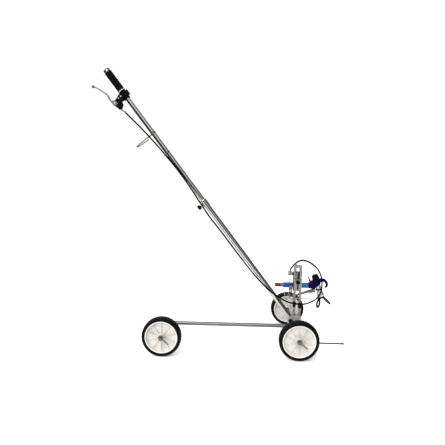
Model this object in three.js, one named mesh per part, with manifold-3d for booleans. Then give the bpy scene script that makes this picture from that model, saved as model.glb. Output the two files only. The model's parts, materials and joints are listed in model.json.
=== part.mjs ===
// Hand-pushed line-marking cart with an airless spray gun on a height-adjustable mast.
// Units are millimetres. +X is forward, +Y is the left side of the cart and +Z is up.
// While it is built, the origin is on the ground under the middle of the front axle. The last lines
// move the finished group so that the origin is the centre of the bottom of its bounding box.
import * as THREE from "three";
import { mergeVertices } from "three/addons/utils/BufferGeometryUtils.js";
import Module from "manifold-3d";

const wasm = await Module();
wasm.setup();

// ---- Driving dimensions ----
const GAP = 0.3; // clearance between neighbouring pieces

const WHEEL_RADIUS = 89;
const WHEELBASE = 610;
const FRONT_WHEEL_Y = 224;
const REAR_WHEEL_Y = -218;
const RIM_RADIUS = 75;
const HUB_HALF = 22;
const AXLE_RADIUS = 8;
const SPINDLE_RADIUS = 6;
const SPINDLE_BEYOND_HUB = 15;
const PIN_BEYOND_HUB = 8.5;
const SHANK_RADIUS = 5.5; // the rear axle's inner end, in its block

const CHASSIS_Z = 71.4;
const CHASSIS_RADIUS = 9.2;
const CHASSIS_REAR_X = -617.5;
const CHASSIS_FRONT_X = 34;

const POLE_FOOT = [-10.5, 0, 115];
const POLE_TILT = THREE.MathUtils.degToRad(37.32); // from vertical, towards the rear
const LOWER_POLE = { start: 8, end: 708, outer: 12.7, inner: 11.6 };
const UPPER_POLE = { start: 640, end: 1470, outer: 11.1, inner: 9.6 };
const KNOB_S = 703;
const GRIP_START = 1366;
const LEVER_PIVOT = [61, 1337]; // distance below the pole's axis, and along it
const ADJUSTER = { from: [54.2, 1297.8], to: [48.5, 1280.6] };

const POST_RADIUS = 6;
const POST_X = [6, 32];
const POST_FOOT_Z = 107;
const MAST_CAP_Z = [367, 378];

const CARRIAGE_Z = [250, 346];
const CLAMP_KNOB_Z = 296;
const GUN_ORIGIN = [124, 32, 271]; // where the nozzle's axis crosses the axis of the gun's handle
const NOZZLE_TILT = THREE.MathUtils.degToRad(17.5); // the nozzle points down, and this far forward
const GUARD_TURN = THREE.MathUtils.degToRad(27);
const REAR_WING = { flare: THREE.MathUtils.degToRad(34), length: 52, half: 14.5, window: [18, 42] };
const FRONT_WING = { flare: THREE.MathUtils.degToRad(28), length: 62, half: 12.5, window: [18, 38] };
const TRIGGER_PIVOT = [-18, -22]; // from the gun's origin, along X and Z
const HANDLE_RADIUS = 13;
const YOKE_X = -15;
const SEAT_RADIUS = 13.4; // the top of the diffuser, seated in the gun's head
const SEAT_TOP = 7.7;

const POINTER_Y = -187;
const POINTER_Z = 65;

// ---- Materials: colour, roughness, metalness ----
function finish(color, roughness, metalness) {
  return new THREE.MeshStandardMaterial({ color, roughness, metalness });
}
const CHROME = finish(0xcfd0cf, 0.16, 1);
const CAST = finish(0xa9aaa6, 0.42, 1);
const STEEL = finish(0x9a9c9a, 0.35, 1);
const BLACKED = finish(0x24242a, 0.45, 0.6);
const RUBBER = finish(0x101010, 0.85, 0);
const BLACK_PLASTIC = finish(0x141416, 0.5, 0);
const WHITE_PLASTIC = finish(0xe4e2de, 0.55, 0);
const NAVY = finish(0x0b0c52, 0.35, 0.2);
const BLUE = finish(0x1552b4, 0.4, 0);
const RED = finish(0x93000f, 0.4, 0);

// ---- Solid geometry ----
// A closed three.js geometry as a manifold-3d solid, without the flat triangles at a lathe's poles.
function solid(geometry) {
  const bare = new THREE.BufferGeometry();
  bare.setAttribute("position", geometry.getAttribute("position").clone());
  if (geometry.index) bare.setIndex(geometry.index.clone());
  const merged = mergeVertices(bare, 1e-4);
  const corners = merged.index.array;
  const kept = [];
  for (let i = 0; i < corners.length; i += 3) {
    const [a, b, c] = [corners[i], corners[i + 1], corners[i + 2]];
    if (a !== b && b !== c && c !== a) kept.push(a, b, c);
  }
  return new wasm.Manifold(
    new wasm.Mesh({
      numProp: 3,
      vertProperties: new Float32Array(merged.attributes.position.array),
      triVerts: new Uint32Array(kept),
    }),
  );
}

// A manifold-3d solid as a flat-shaded three.js geometry.
function surface(body) {
  const { vertProperties, triVerts } = body.getMesh();
  const geometry = new THREE.BufferGeometry();
  geometry.setAttribute("position", new THREE.BufferAttribute(new Float32Array(vertProperties), 3));
  geometry.setIndex(new THREE.BufferAttribute(new Uint32Array(triVerts), 1));
  const flat = geometry.toNonIndexed();
  flat.computeVertexNormals();
  return flat;
}

// Joins the first geometry with the others, then cuts the last list out of it.
function carve(joined, removed = []) {
  let body = solid(joined[0]);
  for (const piece of joined.slice(1)) body = body.add(solid(piece));
  for (const piece of removed) body = body.subtract(solid(piece));
  return surface(body);
}

// A solid of revolution about +Z. The profile is a list of [radius, height], going round its section
// so that the finished surface faces out.
function turned(profile, segments = 16) {
  const points = profile.map(([r, z]) => new THREE.Vector2(r, z));
  return new THREE.LatheGeometry(points, segments).rotateX(Math.PI / 2);
}

function rod(radius, from, to, segments = 12) {
  return turned([[0, from], [radius, from], [radius, to], [0, to]], segments);
}

function ring(inner, outer, from, to, segments = 16) {
  return turned([[inner, from], [outer, from], [outer, to], [inner, to], [inner, from]], segments);
}

// Turn a geometry made along +Z so that it lies along +X or +Y.
function alongX(geometry) {
  return geometry.rotateY(Math.PI / 2);
}

function alongY(geometry) {
  return geometry.rotateX(-Math.PI / 2);
}

function box(x0, x1, y0, y1, z0, z1) {
  const geometry = new THREE.BoxGeometry(x1 - x0, y1 - y0, z1 - z0);
  return geometry.translate((x0 + x1) / 2, (y0 + y1) / 2, (z0 + z1) / 2);
}

// A plate with its outline in the XZ plane, from y0 to y1. The outline is a list of [x, z].
function plate(outline, y0, y1) {
  const shape = new THREE.Shape(outline.map(([x, z]) => new THREE.Vector2(x, z)));
  const geometry = new THREE.ExtrudeGeometry(shape, { depth: y1 - y0, bevelEnabled: false });
  return geometry.rotateX(Math.PI / 2).translate(0, y1, 0);
}

// A section swept along a smooth curve through the points.
function swept(points, section, steps) {
  const route = new THREE.CatmullRomCurve3(points.map((p) => new THREE.Vector3(...p)), false, "centripetal");
  return new THREE.ExtrudeGeometry(section, { steps, bevelEnabled: false, extrudePath: route });
}

function roundSection(radius, sides = 8) {
  const corners = [];
  for (let i = 0; i < sides; i++) {
    const angle = (2 * Math.PI * i) / sides;
    corners.push(new THREE.Vector2(radius * Math.cos(angle), radius * Math.sin(angle)));
  }
  return new THREE.Shape(corners);
}

function flatSection(width, thickness) {
  const [w, t] = [width / 2, thickness / 2];
  return new THREE.Shape([[-w, -t], [w, -t], [w, t], [-w, t]].map(([x, y]) => new THREE.Vector2(x, y)));
}

function piece(name, geometry, material) {
  const mesh = new THREE.Mesh(geometry, material);
  mesh.name = name;
  return mesh;
}

function assembly(position = [0, 0, 0]) {
  const group = new THREE.Group();
  group.position.set(...position);
  return group;
}

// ---- Wheels: made with the axle along +Y and the outer side towards +Y ----
function tyre() {
  const section = [
    [75.3, -17], [79, -19.6], [84, -20.2], [87.6, -16], [WHEEL_RADIUS, -6],
    [WHEEL_RADIUS, 6], [87.6, 16], [84, 20.2], [79, 19.6], [75.3, 17], [75.3, -17],
  ];
  return alongY(turned(section, 30));
}

function rim() {
  const hole = 10 + GAP;
  const section = [
    [hole, -HUB_HALF], [16, -HUB_HALF], [18, -5], [66, -4], [68, -16.5], [RIM_RADIUS, -16.5],
    [RIM_RADIUS, 16.5], [68, 16.5], [66, 4], [18, 5], [16, HUB_HALF], [hole, HUB_HALF], [hole, -HUB_HALF],
  ];
  return alongY(turned(section, 30));
}

function hubBush() {
  const bore = SPINDLE_RADIUS + GAP;
  const flange = HUB_HALF + GAP;
  const section = [
    [bore, -HUB_HALF + 1], [10, -HUB_HALF + 1], [10, flange], [13.5, flange],
    [13.5, flange + 2.5], [bore, flange + 2.5], [bore, -HUB_HALF + 1],
  ];
  return alongY(turned(section));
}

// A hairpin cotter: its straight leg goes through the spindle and its bent leg hugs the outside.
function cotterPin() {
  const down = THREE.MathUtils.degToRad(-38);
  const offset = SPINDLE_RADIUS + 2.6;
  const route = [
    [-12, 0], [0, 0], [14, 0], [26, 0], [32, 2], [33.5, offset * 0.5], [31, offset * 0.92],
    [24, offset * 0.95], [14, offset * 0.72], [6, offset], [-2, offset * 1.03], [-9, offset * 0.9],
  ];
  const flat = swept(route.map(([x, z]) => [x, 0, z]), roundSection(1.5, 6), 20);
  return flat.rotateY(-down);
}

function wheel(name, x, y) {
  const group = assembly([x, y, WHEEL_RADIUS]);
  const side = y < 0 ? -1 : 1;
  group.rotation.z = side < 0 ? Math.PI : 0;
  const washerAt = HUB_HALF + 3.2;
  const washer = alongY(ring(SPINDLE_RADIUS + GAP, 12, washerAt, washerAt + 2));
  const pin = cotterPin();
  if (side < 0) pin.rotateZ(Math.PI);
  pin.translate(0, HUB_HALF + PIN_BEYOND_HUB, 0);
  group.add(
    piece(`tyre_${name}`, tyre(), RUBBER),
    piece(`rim_${name}`, rim(), WHITE_PLASTIC),
    piece(`hub_bush_${name}`, hubBush(), STEEL),
    piece(`washer_${name}`, washer, STEEL),
    piece(`cotter_pin_${name}`, pin, STEEL),
  );
  return group;
}

// ---- Chassis ----
// A hole for the straight leg of a cotter pin, at one end of an axle.
function cotterHole(y) {
  const hole = alongX(rod(1.9, -16, 16, 12));
  return hole.rotateY(THREE.MathUtils.degToRad(38)).translate(0, y, 0);
}

// Half-profile of a spindle end: a shoulder that the hub runs against, then the spindle.
function spindleProfile(wheelY) {
  const shoulder = wheelY - HUB_HALF - GAP;
  const end = wheelY + HUB_HALF + SPINDLE_BEYOND_HUB;
  return [[AXLE_RADIUS, shoulder], [SPINDLE_RADIUS, shoulder], [SPINDLE_RADIUS, end], [0, end]];
}

function frontAxle() {
  const right = spindleProfile(FRONT_WHEEL_Y).map(([r, y]) => [r, -y]).reverse();
  const bar = alongY(turned([...right, ...spindleProfile(FRONT_WHEEL_Y)]));
  const pinY = FRONT_WHEEL_Y + HUB_HALF + PIN_BEYOND_HUB;
  return carve([bar], [cotterHole(pinY), cotterHole(-pinY)]).translate(0, 0, WHEEL_RADIUS);
}

function rearAxle() {
  const shank = [[0, 5], [SHANK_RADIUS, 5], [SHANK_RADIUS, 58], [AXLE_RADIUS, 62]];
  const profile = [...shank, ...spindleProfile(-REAR_WHEEL_Y)];
  const bar = alongY(turned(profile)).rotateZ(Math.PI);
  const pinY = REAR_WHEEL_Y - HUB_HALF - PIN_BEYOND_HUB;
  return carve([bar], [cotterHole(pinY)]).translate(-WHEELBASE, 0, WHEEL_RADIUS);
}

// A cast block that clamps the front axle across the top of the chassis tube.
function frontAxleBlock() {
  const [rear, front] = [-22, 40];
  const tubeHole = alongX(rod(CHASSIS_RADIUS + GAP, rear - 1, front + 1, 24)).translate(0, 0, CHASSIS_Z);
  const axleHole = alongY(rod(AXLE_RADIUS + GAP, -30, 30, 24)).translate(0, 0, WHEEL_RADIUS);
  return carve([box(rear, front, -22, 22, 57, 101)], [tubeHole, axleHole]);
}

// The block on the rear end of the chassis tube, with an eye on top for the rear axle's shank.
function rearAxleBlock() {
  const [x, eye] = [-WHEELBASE, 7.6];
  const block = box(x - 12, x + 12, -24, 14, 57, 84);
  const neck = box(x - eye, x + eye, -24, -5, 80, WHEEL_RADIUS);
  const boss = alongY(rod(eye, -24, -5, 24)).translate(x, 0, WHEEL_RADIUS);
  const tubeHole = alongX(rod(CHASSIS_RADIUS + GAP, x - 8, x + 20, 24)).translate(0, 0, CHASSIS_Z);
  const shankHole = alongY(rod(SHANK_RADIUS + GAP, -30, 0, 20)).translate(x, 0, WHEEL_RADIUS);
  return carve([block, neck, boss], [tubeHole, shankHole]);
}

// A point on the pole, from its distance along the pole and below the pole's axis.
function onPole(s, below, y = 0) {
  const [sin, cos] = [Math.sin(POLE_TILT), Math.cos(POLE_TILT)];
  return [POLE_FOOT[0] - s * sin - below * cos, POLE_FOOT[1] + y, POLE_FOOT[2] + s * cos - below * sin];
}

function tiltToPole(geometry) {
  return geometry.rotateY(-POLE_TILT).translate(...POLE_FOOT);
}

// The mast's cast base: a block for the posts, a lug for the pole and a spigot inside the pole.
function baseBlock() {
  const block = box(-3, 39, -19, 19, 101 + GAP, 129);
  const lug = tiltToPole(rod(16, -13, LOWER_POLE.start - GAP, 24));
  const spigot = tiltToPole(rod(LOWER_POLE.inner - GAP, 0, 60, 20));
  const postHoles = POST_X.map((x) => rod(POST_RADIUS + GAP, POST_FOOT_Z - GAP, 140).translate(x, 0, 0));
  const studHole = alongY(rod(3 + GAP, -30, -9, 12)).translate(-13, 0, 108);
  const below = box(-60, 60, -30, 30, 60, 101 + GAP);
  return carve([block, lug, spigot], [...postHoles, studHole, below]);
}

// A knurled hand knob with its stud, along +Y: the grip is on the side of -Y.
function knob(radius, height, studLength, collar = radius * 0.55) {
  return turned([
    [0, -height], [radius * 0.8, -height], [radius, -height * 0.8], [radius, -height * 0.25],
    [collar, 0], [3, 0], [3, studLength], [0, studLength],
  ]);
}

function pointer() {
  const [yr, zr] = [POINTER_Y, POINTER_Z];
  const profile = [[0, -26], [3.2, -26], [3.2, 196], [4, 197], [4, 203], [2.6, 206], [0, 206]];
  const bar = alongX(turned(profile, 12));
  const block = box(-11, 11, yr - 9, yr + 9, zr - 9, WHEEL_RADIUS + 12);
  const holes = [
    alongX(rod(3.2 + GAP, -20, 20, 12)).translate(0, yr, zr),
    alongY(rod(AXLE_RADIUS + GAP, -15, 15)).translate(0, yr, WHEEL_RADIUS),
  ];
  return [
    piece("pointer_rod", bar.translate(0, yr, zr), CHROME),
    piece("pointer_clamp", carve([block], holes), CAST),
  ];
}

function chassis() {
  const tube = alongX(ring(7.4, CHASSIS_RADIUS, CHASSIS_REAR_X, CHASSIS_FRONT_X, 24));
  return [
    piece("chassis_tube", tube.translate(0, 0, CHASSIS_Z), CHROME),
    piece("front_axle", frontAxle(), STEEL),
    piece("rear_axle", rearAxle(), STEEL),
    piece("front_axle_block", frontAxleBlock(), CAST),
    piece("rear_axle_block", rearAxleBlock(), CAST),
    piece("base_block", baseBlock(), CAST),
    piece("base_knob", alongY(knob(9.5, 13, 12)).translate(-13, -22.6, 108), BLACK_PLASTIC),
    ...pointer(),
  ];
}

// ---- Handle: made with the pole's axis along +Z, and what is below the pole towards -X ----
function poleTubes() {
  const tube = ({ inner, outer, start, end }) => ring(inner, outer, start, end, 24);
  return [
    piece("pole_lower", tube(LOWER_POLE), CHROME),
    piece("pole_upper", tube(UPPER_POLE), CHROME),
  ];
}

function poleClamp() {
  const { outer, end } = LOWER_POLE;
  const body = turned([[0, 684], [14.7, 684], [14.7, 720], [13.4, 723], [0, 723]], 24);
  const boss = alongX(rod(7, -25, 0)).translate(0, 0, KNOB_S);
  const socket = rod(outer + GAP, 680, end + GAP, 24);
  const throat = rod(UPPER_POLE.outer + GAP, 700, 730, 24);
  const studHole = alongX(rod(3 + GAP, -30, 0, 12)).translate(0, 0, KNOB_S);
  const stud = knob(12, 18, 11.4, 5).rotateY(Math.PI / 2).translate(-25 - GAP, 0, KNOB_S);
  return [
    piece("pole_clamp", carve([body, boss], [socket, throat, studHole]), CHROME),
    piece("pole_clamp_knob", stud, BLACK_PLASTIC),
  ];
}

// The hook that carries the paint hose: one bent wire, its root against the pole.
function hoseHook() {
  const route = [
    [-10.5, 5, 1119], [-40, 5, 1119], [-70, 5, 1118.5], [-95, 6, 1118], [-102, 9, 1117.6],
    [-104, 14, 1117], [-101, 20, 1116], [-92, 23, 1115], [-70, 23, 1113.5], [-40, 23, 1112],
  ];
  const collar = ring(9, 13.4, 1113, 1125);
  const wire = swept(route, roundSection(2.5, 6), 22);
  return carve([collar, wire], [rod(UPPER_POLE.outer + GAP, 1100, 1140, 24)]);
}

function cableClip(cableX, cableY) {
  const s = 1004;
  const band = ring(9, 12.8, s - 5, s + 5);
  const tab = box(cableX - 5.6, -10, cableY - 5.6, cableY + 5.6, s - 5, s + 5);
  const hole = rod(4.1, s - 8, s + 8, 12).translate(cableX, cableY, 0);
  return carve([band, tab], [hole, rod(UPPER_POLE.outer + GAP, s - 8, s + 8, 24)]);
}

function grip() {
  const hole = UPPER_POLE.outer + GAP;
  const end = UPPER_POLE.end;
  return turned([
    [hole, GRIP_START], [17.3, GRIP_START], [17.7, GRIP_START + 2], [17, 1400], [17, 1440],
    [17.7, end - 2], [17.3, end], [hole, end], [hole, GRIP_START],
  ], 24);
}

// The lever's bracket: a clamp round the pole, and an arm that holds the pivot and the adjuster.
function leverBracket() {
  const [pivotBelow, pivotS] = LEVER_PIVOT;
  const outline = [
    [-8, 1321], [-30, 1324], [-33, 1309], [-50, 1299], [-62, 1301], [-67, 1322],
    [-70.5, 1338], [-66, 1347], [-52, 1348], [-38, 1352], [-20, 1359], [-8, 1361],
  ];
  const sleeve = ring(9, 16, 1318, 1361.4, 24);
  const boss = box(8, 24, -8, 8, 1330, 1354);
  const arm = plate(outline.reverse(), -8, 8);
  const bore = rod(UPPER_POLE.outer + GAP, 1310, 1370, 24);
  const slot = box(-90, -47, -4.5, 4.5, 1318, 1360);
  const pinHole = alongY(rod(2.8, -12, 12, 12)).translate(-pivotBelow, 0, pivotS);
  return carve([sleeve, boss, arm], [bore, slot, pinHole]);
}

function brakeLever() {
  const [pivotBelow, pivotS] = LEVER_PIVOT;
  const route = [
    [-62, 0, 1340], [-68, 0, 1352], [-70.5, 0, 1360], [-69.5, 0, 1372], [-67.6, 0, 1384],
    [-69, 0, 1396], [-75, 0, 1416], [-83.5, 0, 1439], [-91, 0, 1456], [-96, 0, 1463],
  ];
  const root = alongY(rod(8, -4, 4)).translate(-pivotBelow, 0, pivotS);
  const heel = plate([[-66, 1333], [-52, 1324], [-50, 1331], [-60, 1345]], -4, 4);
  const blade = swept(route, flatSection(7.6, 6.4), 15);
  const ball = new THREE.SphereGeometry(5.4, 10, 7).translate(-96.5, 0, 1464);
  const cheek = [[-72, 1331], [-60, 1323], [-50, 1327], [-50, 1338], [-61, 1355], [-72, 1355]];
  const cheeks = [-9.6, 8.3].map((y) => plate(cheek, y, y + 1.3));
  const bridge = box(-72, -63, -9, 9, 1350.5, 1355);
  const pinHole = alongY(rod(2.8, -12, 12, 12)).translate(-pivotBelow, 0, pivotS);
  return carve([root, heel, blade, ball, ...cheeks, bridge], [pinHole]);
}

function barrelAdjuster() {
  const { from, to } = ADJUSTER;
  const length = Math.hypot(from[0] - to[0], from[1] - to[1]);
  const body = turned([
    [1.4, -length], [3.6, -length], [3.6, -length + 5], [4.8, -length + 5], [4.8, -4],
    [3.4, -4], [3.4, 0], [1.4, 0], [1.4, -length],
  ], 16);
  const lean = Math.atan2(from[0] - to[0], from[1] - to[1]);
  return body.rotateY(-lean).translate(-from[0], 0, from[1]);
}

function handle() {
  const group = assembly(POLE_FOOT);
  group.rotation.y = -POLE_TILT;
  const [pivotBelow, pivotS] = LEVER_PIVOT;
  const pin = alongY(rod(2.5, -10, 10, 12)).translate(-pivotBelow, 0, pivotS);
  const endCap = turned([[0, 1470.3], [15.6, 1470.3], [15.6, 1482], [13, 1486], [0, 1486]], 24);
  group.add(
    ...poleTubes(),
    ...poleClamp(),
    piece("hose_hook", hoseHook(), CHROME),
    piece("cable_clip", cableClip(-15.6, -5.2), STEEL),
    piece("grip", grip(), RUBBER),
    piece("grip_end_cap", endCap, CHROME),
    piece("lever_bracket", leverBracket(), BLACK_PLASTIC),
    piece("brake_lever", brakeLever(), CHROME),
    piece("lever_pin", pin, STEEL),
    piece("barrel_adjuster", barrelAdjuster(), CHROME),
  );
  return group;
}

// ---- Brake cable: from the adjuster down the pole, round the gun and into the anchor ----
function brakeCable() {
  const start = onPole(1279.9, 48.3);
  const route = [
    start, [-800, 0, 1079], [-756, -1, 1037], [-711, -2, 991], [-666, -3.5, 943], [-628, -5.5, 900],
    [-584, -10.5, 849], [-542, -12.5, 795], [-500, -12.5, 736], [-457, -12, 671], [-417, -11, 612],
    [-357, -11, 537], [-290, -13, 450], [-204, -17, 342], [-171, -19, 305], [-137, -20.5, 271],
    [-100, -20.5, 240], [-66, -19, 218], [-33, -15, 200], [-2, -13, 191], [27, -12.5, 187],
    [58, -11, 189], [97, -5, 203], [117, -1, 218], [130, 2, 236], [137, 3, 257],
    [138.5, 3, 281], [136, 3, 310], [130, 3, 332], [118, 5, 356], [101, 8, 374],
    [80, 12, 389], [61, 16, 397], [43, 19, 399], [22, 23, 392], [3, 28, 374], [-10.5, 31, 355],
    [-14.6, 32, 345], [-15, 32, 338], [-15, 32, 333],
  ];
  return swept(route, roundSection(3), 80);
}

// ---- Mast: two posts, their sleeves and the cap ----
function mast() {
  const [capFrom, capTo] = MAST_CAP_Z;
  const blind = POST_X.map((x) => rod(POST_RADIUS + GAP, capFrom - 2, capFrom + 6).translate(x, 0, 0));
  const cap = carve([box(-0.5, 38.5, -8, 8, capFrom, capTo)], blind);
  const sleeves = [[170, 196], [164, 183]];
  const names = ["rear", "front"];
  const pieces = [piece("mast_cap", cap, CAST)];
  POST_X.forEach((x, i) => {
    const post = rod(POST_RADIUS, POST_FOOT_Z, capFrom + 5.7, 20).translate(x, 0, 0);
    const sleeve = ring(POST_RADIUS + GAP, 7.4, ...sleeves[i]).translate(x, 0, 0);
    pieces.push(piece(`post_${names[i]}`, post, CHROME));
    pieces.push(piece(`post_sleeve_${names[i]}`, sleeve, RUBBER));
  });
  return pieces;
}

// ---- Gun carriage: slides on the posts and is clamped to them by the knob ----
function gunCarriage() {
  const [low, high] = CARRIAGE_Z;
  const [, gunY, gunZ] = GUN_ORIGIN;
  const back = box(-2, 40, 6.4, 12.4, low, high);
  const tongue = box(12.6, 25.4, -5.4, 7, 262, high);
  const saddle = box(8, 30, 12, gunY, gunZ - 17, gunZ + 17);
  const bow = alongX(rod(17, 8, 30, 24)).translate(0, gunY, gunZ);
  const handleHole = alongX(rod(HANDLE_RADIUS + GAP, 0, 40, 24)).translate(0, gunY, gunZ);
  const studHole = alongY(rod(3 + GAP, -20, 13, 12)).translate(19, 0, CLAMP_KNOB_Z);
  return carve([back, tongue, saddle, bow], [handleHole, studHole]);
}

function clampPlate() {
  const front = box(0, 38, -12.3, -6.3, 253, 310);
  const slot = box(15, 23, -14, -4, 258, 283);
  const studHole = alongY(rod(3 + GAP, -20, 0, 12)).translate(19, 0, CLAMP_KNOB_Z);
  return carve([front], [slot, studHole]);
}

function cableAnchor() {
  const head = box(-24, -3, 22, 42, 322, 340);
  const arm = box(-10, 6, 12.7, 24, 324, 338);
  const ferrule = rod(4.6, 332.7, 350).translate(YOKE_X, 32, 0);
  const wireHole = rod(1.6, 315, 340, 12).translate(YOKE_X, 32, 0);
  return carve([head, arm], [ferrule, wireHole]);
}

// The yoke hangs on the inner wire, goes down both sides of the gun's handle and hooks the trigger.
function triggerYoke() {
  const [, gunY] = GUN_ORIGIN;
  const [top, bottom, half] = [299, 210, 17];
  const route = [
    [-2, top], [-half + 4, top], [-half, top - 4], [-half, (top + bottom) / 2], [-half, bottom + 4],
    [-half + 4, bottom], [half - 4, bottom], [half, bottom + 4], [half, (top + bottom) / 2],
    [half, top - 4], [half - 4, top], [2, top],
  ];
  const bail = swept(route.map(([y, z]) => [YOKE_X, gunY + y, z]), roundSection(1.5, 6), 30);
  const bead = box(YOKE_X - 3, YOKE_X + 3, gunY - 5, gunY + 5, top - 3.5, top + 4);
  const wire = rod(0.9, top, 331, 8).translate(YOKE_X, gunY, 0);
  return carve([bail, bead, wire]);
}

// ---- Spray gun: made about the gun's origin, with the handle along -X ----
function tiltToNozzle(geometry) {
  return geometry.rotateY(-NOZZLE_TILT);
}

function gunHead() {
  const barrel = tiltToNozzle(rod(16, -12, 41, 24));
  const neck = alongX(rod(HANDLE_RADIUS, -46.7, 0, 20));
  const web = plate([
    [-30, -14], [-12, -12], [2, 4], [12, 15], [12, 29], [4, 34], [-12, 38], [-24, 28], [-38, 19],
    [-46.7, 12],
    [-46.7, -12],
  ], -12, 12);
  const lug = box(-25, -12, -4, 4, -33, -8);
  const hook = swept([
    [2, 0, 25], [10, 0, 29.5], [20, 0, 31], [30, 0, 28], [38.5, 0, 20.5], [44.5, 0, 9], [43, 0, -1],
    [38, 0, -7],
  ], flatSection(9.4, 9.8), 18);
  const bore = tiltToNozzle(rod(3.2, -20, 45, 12));
  const pinHole = alongY(rod(2.3, -12, 12, 12)).translate(TRIGGER_PIVOT[0], 0, TRIGGER_PIVOT[1]);
  const seat = tiltToNozzle(rod(SEAT_RADIUS + GAP, -20, SEAT_TOP + GAP, 24));
  const slanted = box(-30, 30, -20, 20, -40, 0).rotateY(-0.77).translate(0, 0, 3);
  const body = carve([barrel, neck, web], [seat, slanted]);
  return carve([body, lug, hook], [bore, pinHole]);
}

function handleSleeve() {
  return alongX(turned([
    [4, -171], [11.5, -171], [HANDLE_RADIUS, -168], [HANDLE_RADIUS, -50], [12.4, -47], [4, -47], [4, -171],
  ], 24));
}

// The nut turns on the inlet. It is a hexagon with round ends.
function swivelNut() {
  const hexagon = alongX(rod(10.6, -186, -176, 6));
  const collar = alongX(rod(9, -189, -171.3, 16));
  return carve([collar, hexagon], [alongX(rod(5, -195, -165))]);
}

function inletCap() {
  const profile = [
    [0, -212], [8.6, -212], [9.5, -210.5], [9.5, -189.3], [6, -189.3], [6, -206], [0, -206],
  ];
  return alongX(turned(profile, 20));
}

function nozzleParts() {
  const group = assembly();
  group.rotation.y = -NOZZLE_TILT;
  const capProfile = [[0, 41.3], [16.2, 41.3], [17.2, 43.5], [17.2, 50], [15, 55.5], [10, 58.5], [0, 58.5]];
  const rearCap = turned(capProfile, 24);
  const needle = turned([[0, -26], [1, -24], [2, -20], [2, 37.5], [0, 37.5]], 12);
  const diffuser = turned([
    [3.2, -56.5], [14.5, -56.5], [18, -49], [13.6, -28.5], [12.6, -27.5], [12.6, -24.5],
    [SEAT_RADIUS, -23.5], [SEAT_RADIUS, SEAT_TOP], [3.2, SEAT_TOP], [3.2, -56.5],
  ], 24);
  const tip = turned([[1.2, -69], [7.4, -69], [7.4, -57], [1.2, -57], [1.2, -69]], 16);
  const guard = piece("tip_guard", tipGuard(), BLACK_PLASTIC);
  guard.rotation.z = GUARD_TURN;
  group.add(
    piece("rear_cap", rearCap, BLACK_PLASTIC),
    piece("needle", needle, STEEL),
    piece("diffuser", diffuser, CAST),
    piece("spray_tip", tip, STEEL),
    guard,
  );
  return group;
}

// One wing of the guard, hanging down -Z with its window, flared out towards +X.
function guardWing({ flare, length, half, window: [low, high] }, turn) {
  const side = [[8, 0], [9.5, 14], [half, 26], [half, length - 14], [5, length]];
  const opening = [[2, low], [half - 8.5, low + 5], [half - 8.5, high - 5], [2, high]];
  const mirrored = (points) => [...points, ...points.map(([x, y]) => [-x, y]).reverse()];
  const outline = new THREE.Shape(mirrored(side).map(([x, y]) => new THREE.Vector2(x, y)));
  outline.holes.push(new THREE.Path(mirrored(opening).reverse().map(([x, y]) => new THREE.Vector2(x, y))));
  const wing = new THREE.ExtrudeGeometry(outline, { depth: 5.6, bevelEnabled: false });
  wing.translate(0, 0, -2.8).rotateX(-Math.PI / 2).rotateZ(Math.PI / 2);
  return wing.rotateY(-flare).translate(9.5, 0, -60).rotateZ(turn);
}

function tipGuard() {
  const base = ring(7.7, 15, -66, -56.8, 24);
  const wings = [guardWing(FRONT_WING, 0), guardWing(REAR_WING, Math.PI)];
  return carve([base, ...wings], [rod(7.7, -69.5, -50, 16)]);
}

function trigger() {
  const [px, pz] = TRIGGER_PIVOT;
  const outline = [
    [px + 6, pz + 1], [px + 2, pz + 5.6], [px - 5, pz + 4], [-45, -24], [-78, -37.5], [-108, -48.5],
    [-139, -53], [-149, -49], [-151, -53], [-140, -58.2], [-107, -54], [-76, -44.5], [-50, -36.5],
    [-30, -36], [-21, -32.5], [px, pz - 6.5], [px + 5, pz - 3.5],
  ];
  const body = plate(outline.reverse(), -8, 8);
  const fork = box(px - 14, px + 10, -4.5, 4.5, pz - 18, pz + 12);
  const pinHole = alongY(rod(2.3, -12, 12, 12)).translate(px, 0, pz);
  return carve([body], [fork, pinHole]);
}

function triggerGuard() {
  const route = [
    [-167, 0, -14.6], [-164.5, 0, -30], [-162, 0, -50], [-158, 0, -62], [-148, 0, -67], [-90, 0, -67.5],
    [-30, 0, -67], [-19, 0, -64.5], [-15.4, 0, -56], [-15, 0, -34.5],
  ];
  return swept(route, flatSection(9, 2.4), 30);
}

function triggerLock() {
  const boss = alongY(rod(4, -5, 5));
  const stick = rod(2.2, 0, 21, 12).rotateY(-0.4);
  return carve([boss, stick]).translate(-40, 0, 23.5);
}

function sprayGun() {
  const group = assembly(GUN_ORIGIN);
  const pin = alongY(rod(2, -9.5, 9.5, 12)).translate(TRIGGER_PIVOT[0], 0, TRIGGER_PIVOT[1]);
  group.add(
    piece("gun_head", gunHead(), NAVY),
    piece("gun_handle", handleSleeve(), BLUE),
    piece("swivel_nut", swivelNut(), CAST),
    piece("inlet_cap", inletCap(), RED),
    piece("trigger", trigger(), CAST),
    piece("trigger_pin", pin, STEEL),
    piece("trigger_guard", triggerGuard(), CHROME),
    piece("trigger_lock", triggerLock(), NAVY),
    nozzleParts(),
  );
  return group;
}

function carriage() {
  const clampKnob = alongY(knob(10, 13, 24, 6)).translate(19, -12.6, CLAMP_KNOB_Z);
  return [
    piece("gun_carriage", gunCarriage(), BLACKED),
    piece("clamp_plate", clampPlate(), CAST),
    piece("carriage_knob", clampKnob, BLACK_PLASTIC),
    piece("cable_anchor", cableAnchor(), CAST),
    piece("trigger_yoke", triggerYoke(), STEEL),
    sprayGun(),
  ];
}

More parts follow.
